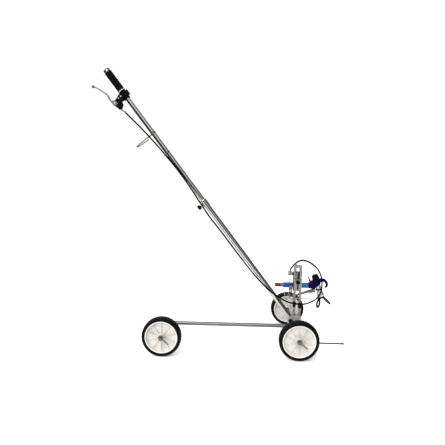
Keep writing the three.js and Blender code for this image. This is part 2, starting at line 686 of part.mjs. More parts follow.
// ---- The whole cart ----
const cart = new THREE.Group();
cart.add(
  wheel("front_right", 0, -FRONT_WHEEL_Y),
  wheel("front_left", 0, FRONT_WHEEL_Y),
  wheel("rear", -WHEELBASE, REAR_WHEEL_Y),
  ...chassis(),
  handle(),
  piece("brake_cable", brakeCable(), BLACK_PLASTIC),
  ...mast(),
  ...carriage(),
);
const bounds = new THREE.Box3().setFromObject(cart, true);
const middle = bounds.getCenter(new THREE.Vector3());
cart.position.set(-middle.x, -middle.y, -bounds.min.z);

export default cart;
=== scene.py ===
"""A hand-pushed line-marking cart with an airless spray gun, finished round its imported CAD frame.

Numbers are millimetres in the frame of what carries the piece: the cart, the pole, the gun or its nozzle.
The shape functions return meshes in metres, and show() makes each one a piece that rides on a body.
"""

import json
import math

import bmesh
import bpy
from mathutils import Matrix, Vector


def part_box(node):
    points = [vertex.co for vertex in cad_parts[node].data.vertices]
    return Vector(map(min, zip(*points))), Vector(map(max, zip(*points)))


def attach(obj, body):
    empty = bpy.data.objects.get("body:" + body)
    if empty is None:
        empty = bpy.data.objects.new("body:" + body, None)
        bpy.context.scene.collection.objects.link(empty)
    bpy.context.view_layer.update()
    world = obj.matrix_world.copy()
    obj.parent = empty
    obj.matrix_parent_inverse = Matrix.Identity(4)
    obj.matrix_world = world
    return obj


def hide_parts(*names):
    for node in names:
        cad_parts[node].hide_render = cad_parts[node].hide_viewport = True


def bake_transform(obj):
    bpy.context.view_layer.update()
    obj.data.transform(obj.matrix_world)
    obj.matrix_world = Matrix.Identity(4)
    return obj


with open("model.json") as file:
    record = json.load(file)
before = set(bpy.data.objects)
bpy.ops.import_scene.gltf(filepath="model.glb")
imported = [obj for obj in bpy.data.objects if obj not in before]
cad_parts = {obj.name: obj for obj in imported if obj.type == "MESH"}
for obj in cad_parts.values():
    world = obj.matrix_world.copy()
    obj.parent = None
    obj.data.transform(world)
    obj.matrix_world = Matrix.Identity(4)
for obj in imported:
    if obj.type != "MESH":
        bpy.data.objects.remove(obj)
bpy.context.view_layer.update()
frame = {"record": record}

MM = 0.001
BODY_OF = {
    node: body
    for body, nodes in frame["record"]["behaviour"]["bodies"].items()
    for node in nodes
}

# ---- Driving dimensions, in millimetres and degrees ----
# A name that ends in S is a distance along the pole from its foot.
GAP = 0.3  # the play between two pieces that fit together
WHEEL_RADIUS = 89
WHEELBASE = 610
HUB_HALF = 22
FRONT_WHEEL_Y = 224
REAR_WHEEL_Y = -218
PIN_BEYOND_HUB = 8.5
PIN_TURN = 38
RIM_BORE = 10.3
RIBS = 10
WHEEL_SIDES = 128
AXLE_RADIUS = 8
SHANK_RADIUS = 5.5
SPINDLE_RADIUS = 6
CHASSIS_Z = 71.4
CHASSIS_RADIUS = 9.2
POLE_FOOT = (-10.5, 0, 115)
POLE_TILT = 37.32
LOWER_POLE_RADIUS = 12.7
UPPER_POLE_RADIUS = 11.1
LOWER_POLE_END_S = 708
UPPER_POLE_END_S = 1470
GRIP_START_S = 1366
KNOB_S = 703
CLIP_S = 1004
LEVER_PIVOT = (-61, 1337)
ADJUSTER_FROM = (-54.2, 1297.8)
ADJUSTER_TO = (-48.5, 1280.6)
POST_RADIUS = 6
POST_X = (6, 32)
CLAMP_KNOB = (19, -12.6, 296)
GUN_ORIGIN = (124, 32, 271)
NOZZLE_TILT = 17.5
GUARD_TURN = 27
SEAT_RADIUS = 13.4
SEAT_TOP = 7.7
REAR_WING = {"flare": 34, "length": 52, "half": 14.5, "window": (18, 42)}
FRONT_WING = {"flare": 28, "length": 62, "half": 12.5, "window": (18, 38)}
TRIGGER_PIVOT = (-18, -22)
HANDLE_RADIUS = 13
YOKE_X = -15
YOKE_Y = 32
POINTER = (-187, 65)

# ---- Camera, in metres, and light ----
LENS = 32.74
SENSOR_WIDTH = 36
EYE = (0.11254, -1.9504, 0.799)
EYE_RIGHT = (0.99906, 0.04142, 0.01292)
EYE_UP = (-0.01742, 0.11015, 0.99377)
HORIZON_NEAR = 0.1
ROOM_SHADES = [(0.0, 0.03), (0.48, 0.04), (0.52, 0.75), (0.7, 1.0), (1.0, 0.7)]
ROOM_LIGHT = 1.35
RIGHT_WALL = 0.14
BACKDROP_LIGHT = 1.05
SUN_FROM = (-0.45, -0.75, 0.85)
SUN_WIDTH = 60
SUN_POWER = 2.6
STAND_RADIUS = 1900
STAND_DEPTH = 10

# ---- The brake cable's route, in the cart's frame ----
CABLE_RADIUS = 3.8
CABLE_UPPER = [
    (-824.8, 0, 1103.5), (-800, 0, 1079), (-756, -1, 1037), (-711, -2, 991), (-666, -3.5, 943),
    (-628, -5.5, 900), (-584, -10.5, 849), (-542, -12.5, 795), (-500, -12.5, 736), (-457, -12, 671),
    (-417, -11, 612), (-357, -11, 537), (-290, -13, 450), (-204, -17, 342), (-171, -19, 305),
    (-137, -20.5, 271), (-100, -20.5, 240), (-66, -19, 218), (-33, -15, 200), (-2, -13, 191),
    (27, -12.5, 187),
]
CABLE_LOWER = [
    (27, -12.5, 187), (58, -11, 189), (97, -5, 203), (117, -1, 218), (130, 2, 236), (137, 3, 257),
    (138.5, 3, 281), (136, 3, 310), (130, 3, 332), (118, 5, 356), (101, 8, 374), (80, 12, 389),
    (61, 16, 397), (43, 19, 399), (22, 23, 392), (3, 28, 374), (-10.5, 31, 355), (-14.6, 32, 345),
    (-15, 32, 338), (-15, 32, 333),
]


# ---- Frames ----
def turn(axis, degrees):
    return Matrix.Rotation(math.radians(degrees), 4, axis)


def at(x, y, z):
    return Matrix.Translation(Vector((x, y, z)) * MM)


# Each of these turns what is drawn along +Z.
ALONG_X = turn("Y", 90)
ALONG_Y = turn("X", -90)
TO_RIGHT = turn("X", 90)
DOWN = turn("X", 180)
axle_low, axle_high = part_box("front_axle")
CART = Matrix.Translation(((axle_low.x + axle_high.x) / 2, 0, 0))
POLE = CART @ at(*POLE_FOOT) @ turn("Y", -POLE_TILT)
GUN = CART @ at(*GUN_ORIGIN)
NOZZLE = GUN @ turn("Y", -NOZZLE_TILT)


# ---- Outlines and routes ----
def rounded(corners, radius=0.5, closed=True, steps=4):
    """The outline with its corners rounded. A corner's third number is its own radius."""
    outline = []
    last = len(corners) - 1
    for i, corner in enumerate(corners):
        here = Vector(corner[:2])
        own = corner[2] if len(corner) > 2 else radius
        if own == 0 or (not closed and i in (0, last)):
            outline.append(tuple(here))
            continue
        before = Vector(corners[i - 1][:2]) - here
        after = Vector(corners[(i + 1) % (last + 1)][:2]) - here
        half = before.angle(after) / 2
        reach = min(own / max(math.tan(half), 0.02), 0.49 * before.length, 0.49 * after.length)
        start = here + before.normalized() * reach
        end = here + after.normalized() * reach
        for k in range(steps + 1):
            t = k / steps
            outline.append(tuple(start * (1 - t) ** 2 + here * 2 * t * (1 - t) + end * t * t))
    return outline


def smooth(points, steps=24):
    """The centripetal Catmull-Rom curve through the points."""
    given = [Vector(p) for p in points]
    given = [given[0] * 2 - given[1], *given, given[-1] * 2 - given[-2]]
    curve = []
    for a, b, c, d in zip(given, given[1:], given[2:], given[3:]):
        t1 = (b - a).length ** 0.5
        t2 = t1 + (c - b).length ** 0.5
        t3 = t2 + (d - c).length ** 0.5
        for k in range(steps):
            t = t1 + (t2 - t1) * k / steps
            ab = a.lerp(b, t / t1)
            bc = b.lerp(c, (t - t1) / (t2 - t1))
            cd = c.lerp(d, (t - t2) / (t3 - t2))
            abc = ab.lerp(bc, t / t2)
            bcd = bc.lerp(cd, (t - t1) / (t3 - t1))
            curve.append(abc.lerp(bcd, (t - t1) / (t2 - t1)))
    return [*curve, given[-2]]


def evenly(curve, spacing):
    """Points on the curve about that far apart, with its ends kept."""
    total = sum((q - p).length for p, q in zip(curve, curve[1:]))
    count = max(2, round(total / spacing))
    even = [curve[0]]
    walked = 0.0
    i = 0
    step = (curve[1] - curve[0]).length
    for k in range(1, count):
        target = total * k / count
        while walked + step < target:
            walked += step
            i += 1
            step = (curve[i + 1] - curve[i]).length
        even.append(curve[i].lerp(curve[i + 1], (target - walked) / step))
    return [*even, curve[-1]]


def circle(radius, sides=16):
    return [
        (radius * math.cos(math.tau * i / sides), radius * math.sin(math.tau * i / sides))
        for i in range(sides)
    ]


def strap(width, thickness, edge=0.6):
    """A flat section with rounded edges, width across and thickness along the other way."""
    w, t = width / 2, thickness / 2
    return rounded([(-w, -t), (w, -t), (w, t), (-w, t)], edge, steps=3)


def mirrored(half):
    """A profile's points and, after them, their mirror images in height 0."""
    return [*half, *[(r, -z, *own) for r, z, *own in reversed(half)]]


def threaded(radius, low, high, pitch=1.25, depth=0.45):
    """Profile points of a screw thread's ridges, going up."""
    points = []
    for i in range(int((high - low) / pitch)):
        base = low + i * pitch
        points += [(radius - depth, base, 0), (radius, base + pitch / 2, 0.1)]
    return points + [(radius - depth, high, 0)]


def ridges(depth, count, *bands):
    """A relief of that many lengthwise ridges, within the bands of height."""

    def relief(angle, height):
        inside = any(low < height < high for low, high in bands)
        return depth * math.cos(count * angle) if inside else 0

    return relief


# ---- Shapes: each function returns a closed bmesh ----
def bridged(mesh, rings, closed):
    """Joins rings of vertices with faces. A ring of one vertex is a pole."""
    pairs = list(zip(rings, rings[1:]))
    if closed:
        pairs.append((rings[-1], rings[0]))
    for a, b in pairs:
        count = max(len(a), len(b))
        for i in range(count):
            j = (i + 1) % count
            if len(a) == 1:
                mesh.faces.new((a[0], b[j], b[i]))
            elif len(b) == 1:
                mesh.faces.new((a[i], a[j], b[0]))
            else:
                mesh.faces.new((a[i], a[j], b[j], b[i]))
    bmesh.ops.recalc_face_normals(mesh, faces=mesh.faces)
    return mesh


def lathe(profile, sides=72, relief=None):
    """A solid turned about +Z from [(radius, height), ...], which ends on the axis or closes on itself.
    relief(angle, height) adds to the radius."""
    mesh = bmesh.new()
    rings = []
    for radius, height in profile:
        if radius < 1e-6:
            rings.append([mesh.verts.new((0, 0, height * MM))])
            continue
        ring = []
        for i in range(sides):
            angle = math.tau * i / sides
            reach = radius + (relief(angle, height) if relief else 0)
            point = (reach * math.cos(angle), reach * math.sin(angle), height)
            ring.append(mesh.verts.new(Vector(point) * MM))
        rings.append(ring)
    return bridged(mesh, rings, closed=profile[0][0] > 1e-6)


def turned(corners, radius=0.5, sides=72, relief=None):
    """A turned solid whose profile corners are rounded."""
    closed = corners[0][0] > 1e-6
    return lathe(rounded(corners, radius, closed), sides, relief)


def rod(radius, low, high, edge=0.4, sides=48):
    return turned([(0, low), (radius, low), (radius, high), (0, high)], edge, sides)


def ring(inner, outer, low, high, edge=0.4, sides=64):
    return turned([(inner, low), (outer, low), (outer, high), (inner, high)], edge, sides)


def upright(radius, low, high, x, y, edge=0, sides=48):
    """A rod along +Z through x and y."""
    return moved(rod(radius, low, high, edge, sides), at(x, y, 0))


def crosswise(radius, low, high, x, z, edge=0, sides=48):
    """A rod along +Y through x and z."""
    return moved(rod(radius, low, high, edge, sides), at(x, 0, z), ALONG_Y)


def lengthwise(radius, low, high, y, z, edge=0, sides=48):
    """A rod along +X through y and z."""
    return moved(rod(radius, low, high, edge, sides), at(0, y, z), ALONG_X)


def plate(outline, low, high):
    """A solid with its outline in the XZ plane, from low to high along Y."""
    mesh = bmesh.new()
    rings = [[mesh.verts.new(Vector((x, y, z)) * MM) for x, z in outline] for y in (low, high)]
    for face in rings:
        mesh.faces.new(face)
    return bridged(mesh, rings, closed=False)


def box(x0, x1, y0, y1, z0, z1):
    return plate([(x0, z0), (x1, z0), (x1, z1), (x0, z1)], y0, y1)


def swept(points, section, spacing=1.5, across=(0, 1, 0), loop=False, girth=None):
    """A section swept along a smooth curve. Its first axis starts out across. girth(share of the
    length) scales the section. The ends of an open sweep are domed."""
    line = evenly(smooth([*points, points[0]] if loop else points), spacing)
    if loop:
        line.pop()
    mesh = bmesh.new()
    side = Vector(across)
    rings = []
    last = len(line) - 1
    reach = 0.7 * max(abs(y) for _, y in section)

    def ring_at(here, along, scale):
        up = along.cross(side)
        return [mesh.verts.new((here + (side * x + up * y) * scale) * MM) for x, y in section]

    for i, here in enumerate(line):
        ahead = line[(i + 1) % (last + 1)] if loop else line[min(i + 1, last)]
        behind = line[i - 1] if loop else line[max(i - 1, 0)]
        along = (ahead - behind).normalized()
        side = (side - along * side.dot(along)).normalized()
        scale = girth(i / last) if girth else 1
        dome = [] if loop or i not in (0, last) else [(0.45, 1.0), (0.8, 0.6)]
        outward = -along if i == 0 else along
        caps = [ring_at(here + outward * reach * far * scale, along, near * scale) for near, far in dome]
        body = [ring_at(here, along, scale)]
        rings += caps + body if i == 0 else body + caps[::-1]
    if not loop:
        mesh.faces.new(rings[0])
        mesh.faces.new(rings[-1])
    return bridged(mesh, rings, closed=loop)


def moved(shape, *matrices):
    for matrix in reversed(matrices):
        bmesh.ops.transform(shape, matrix=matrix, verts=shape.verts)
    return shape


def placed(name, data):
    """A new object in the scene."""
    thing = bpy.data.objects.new(name, data)
    bpy.context.scene.collection.objects.link(thing)
    return thing


def mesh_of(name, shape):
    """The mesh of a shape, which is used up."""
    mesh = bpy.data.meshes.new(name)
    shape.to_mesh(mesh)
    shape.free()
    return mesh


def scratch(shape):
    """A short-lived object that holds a shape while modifiers work on it."""
    return placed("scratch", mesh_of("scratch", shape))


def result(thing, *others):
    """The shape that a scratch object's modifiers give. All the scratch objects are removed."""
    graph = bpy.context.evaluated_depsgraph_get()
    mesh = bpy.data.meshes.new_from_object(thing.evaluated_get(graph))
    shape = bmesh.new()
    shape.from_mesh(mesh)
    bpy.data.meshes.remove(mesh)
    for used in (thing, *others):
        data = used.data
        bpy.data.objects.remove(used)
        bpy.data.meshes.remove(data)
    return shape


def carve(joined, removed=()):
    """Joins the first shapes into one solid and cuts the others out of it."""
    base, *more = [scratch(shape) for shape in joined]
    cutters = [scratch(shape) for shape in removed]
    for operation, tools in (("UNION", more), ("DIFFERENCE", cutters)):
        for tool in tools:
            step = base.modifiers.new(operation, "BOOLEAN")
            step.operation = operation
            step.solver = "MANIFOLD"
            step.object = tool
    return result(base, *more, *cutters)


def cast(shape, voxel=0.7, passes=6):
    """The shape as a casting, with its edges and inner corners softened."""
    thing = scratch(shape)
    remesh = thing.modifiers.new("voxels", "REMESH")
    remesh.mode = "VOXEL"
    remesh.voxel_size = voxel * MM
    soften = thing.modifiers.new("soften", "SMOOTH")
    soften.iterations = passes
    return result(thing)


def eased(shape, width=0.6, segments=3):
    """The shape with its sharp edges bevelled."""
    bmesh.ops.remove_doubles(shape, verts=shape.verts, dist=0.01 * MM)
    bmesh.ops.dissolve_limit(shape, angle_limit=math.radians(1), verts=shape.verts, edges=shape.edges)
    sharp = [e for e in shape.edges if e.is_manifold and e.calc_face_angle() > math.radians(38)]
    bmesh.ops.bevel(
        shape, geom=sharp, offset=width * MM, segments=segments, profile=0.5,
        affect="EDGES", clamp_overlap=True,
    )
    return shape


# ---- Materials: all procedural, in each piece's own coordinates ----
MIX_FACTOR, MIX_UNDER, MIX_OVER, MIX_COLOR = 0, 6, 7, 2  # places of a colour Mix node's sockets


class Nodes:
    """A node tree and short calls that add nodes to it."""

    def __init__(self, tree):
        self.tree = tree

    def set(self, node, values):
        """Sets inputs, given by name or place, or links them where the value is an output."""
        for key, value in values.items():
            if isinstance(value, bpy.types.NodeSocket):
                self.tree.links.new(value, node.inputs[key])
            else:
                node.inputs[key].default_value = value

    def add(self, kind, values=(), **properties):
        node = self.tree.nodes.new(kind)
        for key, value in properties.items():
            setattr(node, key, value)
        self.set(node, dict(values))
        return node

    def mapped(self, value, low, high, to_low, to_high):
        values = {"Value": value, "From Min": low, "From Max": high, "To Min": to_low, "To Max": to_high}
        return self.add("ShaderNodeMapRange", values).outputs[0]


class Look(Nodes):
    """A material: one shader, with what is painted on it and its surface texture."""

    def __init__(self, name, color, roughness, metallic=0.0, **sockets):
        self.material = bpy.data.materials.new(name)
        self.material.use_nodes = True
        super().__init__(self.material.node_tree)
        self.shader = self.tree.nodes["Principled BSDF"]
        self.rough = roughness
        self.tint = (*color, 1)
        self.set(self.shader, {"Base Color": self.tint, "Roughness": roughness, "Metallic": metallic})
        self.set(self.shader, {key.replace("_", " "): value for key, value in sockets.items()})

    def noise(self, scale, detail=3.0, stretch=(1, 1, 1), lean=0.0):
        """Noise with that many cells a metre. A stretch below 1 draws them out along its axis."""
        where = self.add("ShaderNodeTexCoord").outputs["Object"]
        leaned = self.add("ShaderNodeMapping", {"Vector": where, "Rotation": (0, lean, 0)})
        squeezed = self.add("ShaderNodeMapping", {"Vector": leaned.outputs[0], "Scale": stretch})
        values = {"Vector": squeezed.outputs[0], "Scale": scale, "Detail": detail}
        return self.add("ShaderNodeTexNoise", values).outputs["Fac"]

    def paint(self, mask, color):
        """Lays another colour over what is there, where the mask is 1."""
        values = {MIX_FACTOR: mask, MIX_UNDER: self.tint, MIX_OVER: (*color, 1)}
        self.tint = self.add("ShaderNodeMix", values, data_type="RGBA").outputs[MIX_COLOR]
        self.set(self.shader, {"Base Color": self.tint})

    def vary_roughness(self, source, spread):
        varied = self.mapped(source, 0.3, 0.7, self.rough - spread, self.rough + spread)
        self.set(self.shader, {"Roughness": varied})

    def bump(self, source, depth_mm):
        values = {"Height": source, "Distance": depth_mm * MM, "Strength": 1.0}
        self.set(self.shader, {"Normal": self.add("ShaderNodeBump", values).outputs[0]})
        return self

    def edges(self, low=0.52, high=0.6):
        """1 on the sharp outer edges."""
        convex = self.add("ShaderNodeNewGeometry").outputs["Pointiness"]
        return self.mapped(convex, low, high, 0, 1)


def drawn_metal(name, stretch, lean, color, roughness, edge_tint):
    """Plated tube with drawing lines along its length."""
    look = Look(name, color, roughness, 1.0, Specular_Tint=edge_tint)
    lines = look.noise(900, 2, stretch, lean)
    clouds = look.noise(16, 4)
    look.vary_roughness(look.noise(40, 4, stretch, lean), 0.05)
    look.paint(look.mapped(clouds, 0.35, 0.75, 0, 0.5), tuple(c * 0.8 for c in color))
    look.paint(look.mapped(look.noise(500, 2), 0.66, 0.74, 0, 0.35), (0.25, 0.24, 0.22))
    return look.bump(lines, 0.012)


def plain_metal(name, color, roughness, worn, grain=1400, depth=0.03):
    """Cast or machined metal with brighter edges and darker specks."""
    look = Look(name, color, roughness, 1.0)
    look.vary_roughness(look.noise(120, 4), 0.1)
    look.paint(look.mapped(look.noise(55, 5), 0.35, 0.7, 0, 0.6), tuple(c * 0.72 for c in color))
    look.paint(look.edges(), worn)
    return look.bump(look.noise(grain, 3), depth)


def moulded(name, color, roughness, specular, soil, dirt, grain, depth):
    """Plastic, rubber or paint with a fine surface texture and a little soiling."""
    look = Look(name, color, roughness, Specular_IOR_Level=specular)
    look.vary_roughness(look.noise(90, 4), 0.08)
    look.paint(look.mapped(look.noise(28, 6), 0.48, 0.72, 0, dirt), soil)
    return look.bump(look.noise(grain, 3), depth)


DARK_EDGE = (0.2, 0.2, 0.19, 1)
POLE_EDGE = (0.45, 0.45, 0.43, 1)
ALONG_TUBE = (1, 1, 0.02)
POLE_LEAN = math.radians(POLE_TILT)
DRAWN = {  # stretch and lean of the drawing lines, colour, roughness, tint of the edge reflections
    "chrome_upright": (ALONG_TUBE, 0, (0.26, 0.25, 0.23), 0.24, DARK_EDGE),
    "chrome_pole": (ALONG_TUBE, POLE_LEAN, (0.5, 0.5, 0.475), 0.13, POLE_EDGE),
    # The level tube's chrome is painted darker than the rest: painted shade for the dark floor it reflects.
    "chrome_level": ((0.02, 1, 1), 0, (0.14, 0.14, 0.135), 0.2, DARK_EDGE),
    "polished_lever": ((1, 1, 0.1), POLE_LEAN, (0.17, 0.17, 0.16), 0.34, DARK_EDGE),
}
PLAIN = {  # colour, roughness, colour where worn, and some grains' scale and depth in millimetres
    "wire": ((0.16, 0.16, 0.15), 0.4, (0.2, 0.2, 0.19)),
    "cast_metal": ((0.145, 0.14, 0.13), 0.4, (0.33, 0.32, 0.3), 900, 0.05),
    "base_metal": ((0.36, 0.37, 0.34), 0.55, (0.5, 0.5, 0.48), 900, 0.05),
    "silver": ((0.6, 0.6, 0.62), 0.5, (0.8, 0.8, 0.8), 900, 0.03),
    "bright_steel": ((0.45, 0.45, 0.43), 0.28, (0.75, 0.75, 0.74)),
    "dull_steel": ((0.15, 0.14, 0.13), 0.42, (0.3, 0.29, 0.27)),
    "hub_steel": ((0.27, 0.26, 0.24), 0.42, (0.4, 0.39, 0.36)),
    "dark_wire": ((0.06, 0.06, 0.057), 0.4, (0.1, 0.1, 0.095)),
    "brass": ((0.62, 0.42, 0.14), 0.3, (0.8, 0.62, 0.3)),
    "blackened_steel": ((0.008, 0.008, 0.009), 0.46, (0.05, 0.05, 0.05)),
}
MOULDED = {  # colour, roughness, specular level, the soil's colour and amount, and the grain
    "tyre_rubber": ((0.0016, 0.0016, 0.0018), 0.5, 0.06, (0.008, 0.008, 0.007), 0.5, 700, 0.05),
    "grip_rubber": ((0.001, 0.001, 0.0012), 0.42, 0.06, (0.006, 0.006, 0.005), 0.3, 1800, 0.03),
    "black_plastic": ((0.001, 0.001, 0.0012), 0.34, 0.06, (0.006, 0.006, 0.006), 0.3, 1500, 0.03),
    "cable_jacket": ((0.0005, 0.0005, 0.0005), 0.5, 0.03, (0.002, 0.002, 0.002), 0.3, 500, 0.02),
    "white_plastic": ((0.585, 0.555, 0.53), 0.45, 0.5, (0.44, 0.41, 0.38), 0.8, 500, 0.06),
    # A lighter copy of the white plastic: a painted highlight on the rims' edges.
    "bright_plastic": ((0.74, 0.725, 0.71), 0.4, 0.5, (0.7, 0.68, 0.66), 0.3, 500, 0.03),
    "navy_coat": ((0.0003, 0.0003, 0.035), 0.34, 0.06, (0.001, 0.001, 0.015), 0.5, 420, 0.05),
    "blue_plastic": ((0.0, 0.06, 0.28), 0.3, 0.2, (0.0, 0.03, 0.14), 0.4, 700, 0.03),
    "sky_plastic": ((0.005, 0.14, 0.4), 0.3, 0.3, (0.0, 0.1, 0.25), 0.4, 700, 0.03),
    "red_plastic": ((0.17, 0.0, 0.004), 0.34, 0.2, (0.07, 0.0, 0.004), 0.4, 700, 0.03),
}
LOOKS = {
    name: make(name, *values)
    for make, table in ((drawn_metal, DRAWN), (plain_metal, PLAIN), (moulded, MOULDED))
    for name, values in table.items()
}
LOOKS["chrome_tube"] = LOOKS["chrome_upright"]
SMOOTH_BELOW = 40  # degrees between two faces


def show(name, shape, place, slot, look=None, body=None):
    """Makes a finished piece. With no body given, it stands for the CAD node of its name. Its look is
    the slot's own unless another is named."""
    mesh = mesh_of(name, moved(shape, place))
    mesh.polygons.foreach_set("use_smooth", [True] * len(mesh.polygons))
    mesh.set_sharp_from_angle(angle=math.radians(SMOOTH_BELOW))
    mesh.materials.append(LOOKS[look or slot].material)
    piece = placed(name if body else f"{name}_form", mesh)
    normals = piece.modifiers.new("normals", "WEIGHTED_NORMAL")
    normals.keep_sharp = True
    if body is None:
        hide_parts(name)
    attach(piece, body or BODY_OF[name])
    return piece


def cap_screw(name, place, body, radius, height, slot="bright_steel", look=None):
    """A socket-head screw whose head stands up along +Z."""
    head = rod(radius, -1, height, 0.5, 40)
    socket = rod(radius * 0.5, height * 0.4, height + 1, 0, 6)
    return show(name, carve([head], [socket]), place, slot, look, body)


# ---- Camera and light ----
def camera():
    lens = bpy.data.cameras.new("camera")
    lens.lens = LENS
    lens.sensor_width = SENSOR_WIDTH
    eye = placed("camera", lens)
    right, up = Vector(EYE_RIGHT), Vector(EYE_UP)
    facing = Matrix((right, up, right.cross(up))).transposed().to_4x4()
    eye.matrix_world = Matrix.Translation(EYE) @ facing
    bpy.context.scene.camera = eye


def studio():
    """A room with a dark floor and a dim lower wall behind the viewer. The camera sees plain white."""
    world = bpy.data.worlds.new("studio")
    bpy.context.scene.world = world
    world.use_nodes = True
    world.node_tree.nodes.clear()
    nodes = Nodes(world.node_tree)
    direction = nodes.add("ShaderNodeTexCoord").outputs["Generated"]
    heading = nodes.add("ShaderNodeSeparateXYZ", {0: direction}).outputs
    horizon = nodes.mapped(heading["Y"], -0.9, -0.2, HORIZON_NEAR, 0)
    height = nodes.add("ShaderNodeMath", {0: heading["Z"], 1: horizon}, operation="SUBTRACT").outputs[0]
    shade = nodes.add("ShaderNodeValToRGB", {0: nodes.mapped(height, -1, 1, 0, 1)})
    ramp = shade.color_ramp.elements
    while len(ramp) < len(ROOM_SHADES):
        ramp.new(0.5)
    for element, (place, value) in zip(ramp, ROOM_SHADES):
        element.position = place
        element.color = (value, value, value, 1)
    strength = nodes.mapped(heading["X"], 0.1, 0.75, ROOM_LIGHT, RIGHT_WALL)
    room = nodes.add("ShaderNodeBackground", {0: shade.outputs[0], 1: strength}).outputs[0]
    backdrop = nodes.add("ShaderNodeBackground", {0: (1, 1, 1, 1), 1: BACKDROP_LIGHT}).outputs[0]
    seen = nodes.add("ShaderNodeLightPath").outputs["Is Camera Ray"]
    both = nodes.add("ShaderNodeMixShader", {0: seen, 1: room, 2: backdrop}).outputs[0]
    nodes.add("ShaderNodeOutputWorld", {0: both})
    bpy.context.scene.view_settings.view_transform = "Standard"


def window():
    """Soft light from above and behind the viewer's left shoulder."""
    sun = bpy.data.lights.new("window", "SUN")
    sun.energy = SUN_POWER
    sun.angle = math.radians(SUN_WIDTH)
    lamp = placed("window", sun)
    lamp.rotation_euler = Vector(SUN_FROM).to_track_quat("Z", "Y").to_euler()


def floor():
    """A white round stand under the cart."""
    top = lathe([(0, 0), (STAND_RADIUS, 0), (STAND_RADIUS, -STAND_DEPTH), (0, -STAND_DEPTH)], 96)
    look = Look("floor", (0.95, 0.95, 0.945), 0.6, Emission_Color=(1, 1, 1, 1), Emission_Strength=0.22)
    look.paint(look.mapped(look.noise(3), 0.4, 0.7, 0, 0.2), (0.93, 0.93, 0.93))
    mesh = mesh_of("floor", top)
    mesh.materials.append(look.material)
    placed("floor", mesh)


# ---- Brake cable: an upper and a lower stretch ----
def cable():
    """Sweeps each stretch along its route and leaves it standing still, on no body."""
    stretches = [
        ("brake_cable_upper", CABLE_UPPER, "upper_handle", CABLE_UPPER[14], CABLE_UPPER[5]),
        ("brake_cable_lower", CABLE_LOWER[::-1], "carriage", CABLE_LOWER[2], CABLE_LOWER[-4]),
    ]
    for name, points, body, still, led in stretches:
        tube = swept(points, circle(CABLE_RADIUS), 3)
        piece = show(name, tube, CART, "cable_jacket", body="frame")
        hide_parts("brake_cable")
        world = piece.matrix_world.copy()
        piece.parent = None
        piece.matrix_world = world
        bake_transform(piece)


# ---- Wheels and chassis ----
def tyre(name, place):
    """A tyre with two grooves in its tread and a lip over the rim's edge on either side."""
    groove = [(WHEEL_RADIUS, -8.4), (87.6, -7.8, 0.2), (87.6, -6.2, 0.2), (WHEEL_RADIUS, -5.6)]
    half = [
        (75.3, -16.8, 0.1), (72.8, -16.8, 0.4), (73.2, -18.4, 0.8), (79, -19.6, 1), (80.2, -20.6, 0.4),
        (81.8, -20.6, 0.4), (84, -20.2, 2), (87.6, -16, 4), *groove,
    ]
    show(f"tyre_{name}", turned(mirrored(half), 0.4, WHEEL_SIDES), place, "tyre_rubber")


def rim(name, place, rib_phase):
    """A white moulded rim with ribs across its web, and on each of its edges a ring of lighter plastic as a
    painted highlight.
    """
    half = [
        (RIM_BORE, 22, 0.6), (16, 22, 1), (17.5, 5.5, 2.5), (61.5, 4, 2), (65, 7, 2.5), (66.5, 13, 0.8),
        (68.6, 13.6, 0.6), (69.3, 16.5, 0.8), (75, 16.5, 0.8),
    ]
    outline = [(13.5, -12.5), (65.8, -8.5), (65.8, 8.5), (13.5, 12.5)]
    ribs = [
        moved(eased(plate(outline, -1, 1), 0.5, 2), turn("Z", rib_phase + 360 / RIBS * i))
        for i in range(RIBS)
    ]
    bore = rod(RIM_BORE, -30, 30, 0, WHEEL_SIDES)
    shell = turned(mirrored(half), 1, WHEEL_SIDES)
    show(f"rim_{name}", carve([shell, *ribs], [bore]), place, "white_plastic")
    # Rings of lighter plastic on the rim's edges: a painted highlight.
    for i, (low, high) in enumerate(((16.6, 17.4), (-17.4, -16.6))):
        edge = ring(69.2, 72.6, low, high, 0.35, WHEEL_SIDES)
        show(f"rim_edge_{name}_{i}", edge, place, "white_plastic", "bright_plastic", f"wheel_{name}")


def hub(name, place):
    """The rim's bush, with a flange beyond the rim, and the washer that the pin keeps on."""
    flange = HUB_HALF + GAP
    bush = [
        (6.3, -21), (10, -21), (10, flange, 0), (13.5, flange), (13.5, flange + 2.5, 0.7),
        (9, flange + 2.5, 0.2), (8.5, flange + 2, 0.2), (8, flange + 2.5, 0.2), (6.3, flange + 2.5),
    ]
    show(f"hub_bush_{name}", turned(bush, 0.3, 64), place, "bright_steel", "hub_steel")
    washer = ring(6.3, 12, HUB_HALF + 3.2, HUB_HALF + 5.2)
    show(f"washer_{name}", washer, place, "bright_steel", "hub_steel")


def cotter_pin(name, place):
    """A hairpin: one straight leg through the spindle, the other over its outside."""
    leg = SPINDLE_RADIUS + 2.6
    points = [
        (-12, 0), (0, 0), (14, 0), (28, 0), (40, 0.2), (43, 0.6), (43.8, 1.5), (42.8, 2.5), (36, 2.8),
        (24, 3.2), (15, 5), (6, leg), (-2, leg * 1.03), (-9, leg * 0.9),
    ]
    wire = swept([(a, 0, b) for a, b in points], circle(1.3, 12), 1)
    show(f"cotter_pin_{name}", wire, place, "bright_steel", "dull_steel")


def wheel(name, x, y, rib_phase):
    place = CART @ at(x, y, WHEEL_RADIUS) @ turn("Z", 180 if y < 0 else 0) @ ALONG_Y
    tyre(name, place)
    rim(name, place, rib_phase)
    hub(name, place)
    reach = math.copysign(HUB_HALF + PIN_BEYOND_HUB, y)
    cotter_pin(name, CART @ at(x, y + reach, WHEEL_RADIUS) @ turn("Y", PIN_TURN))


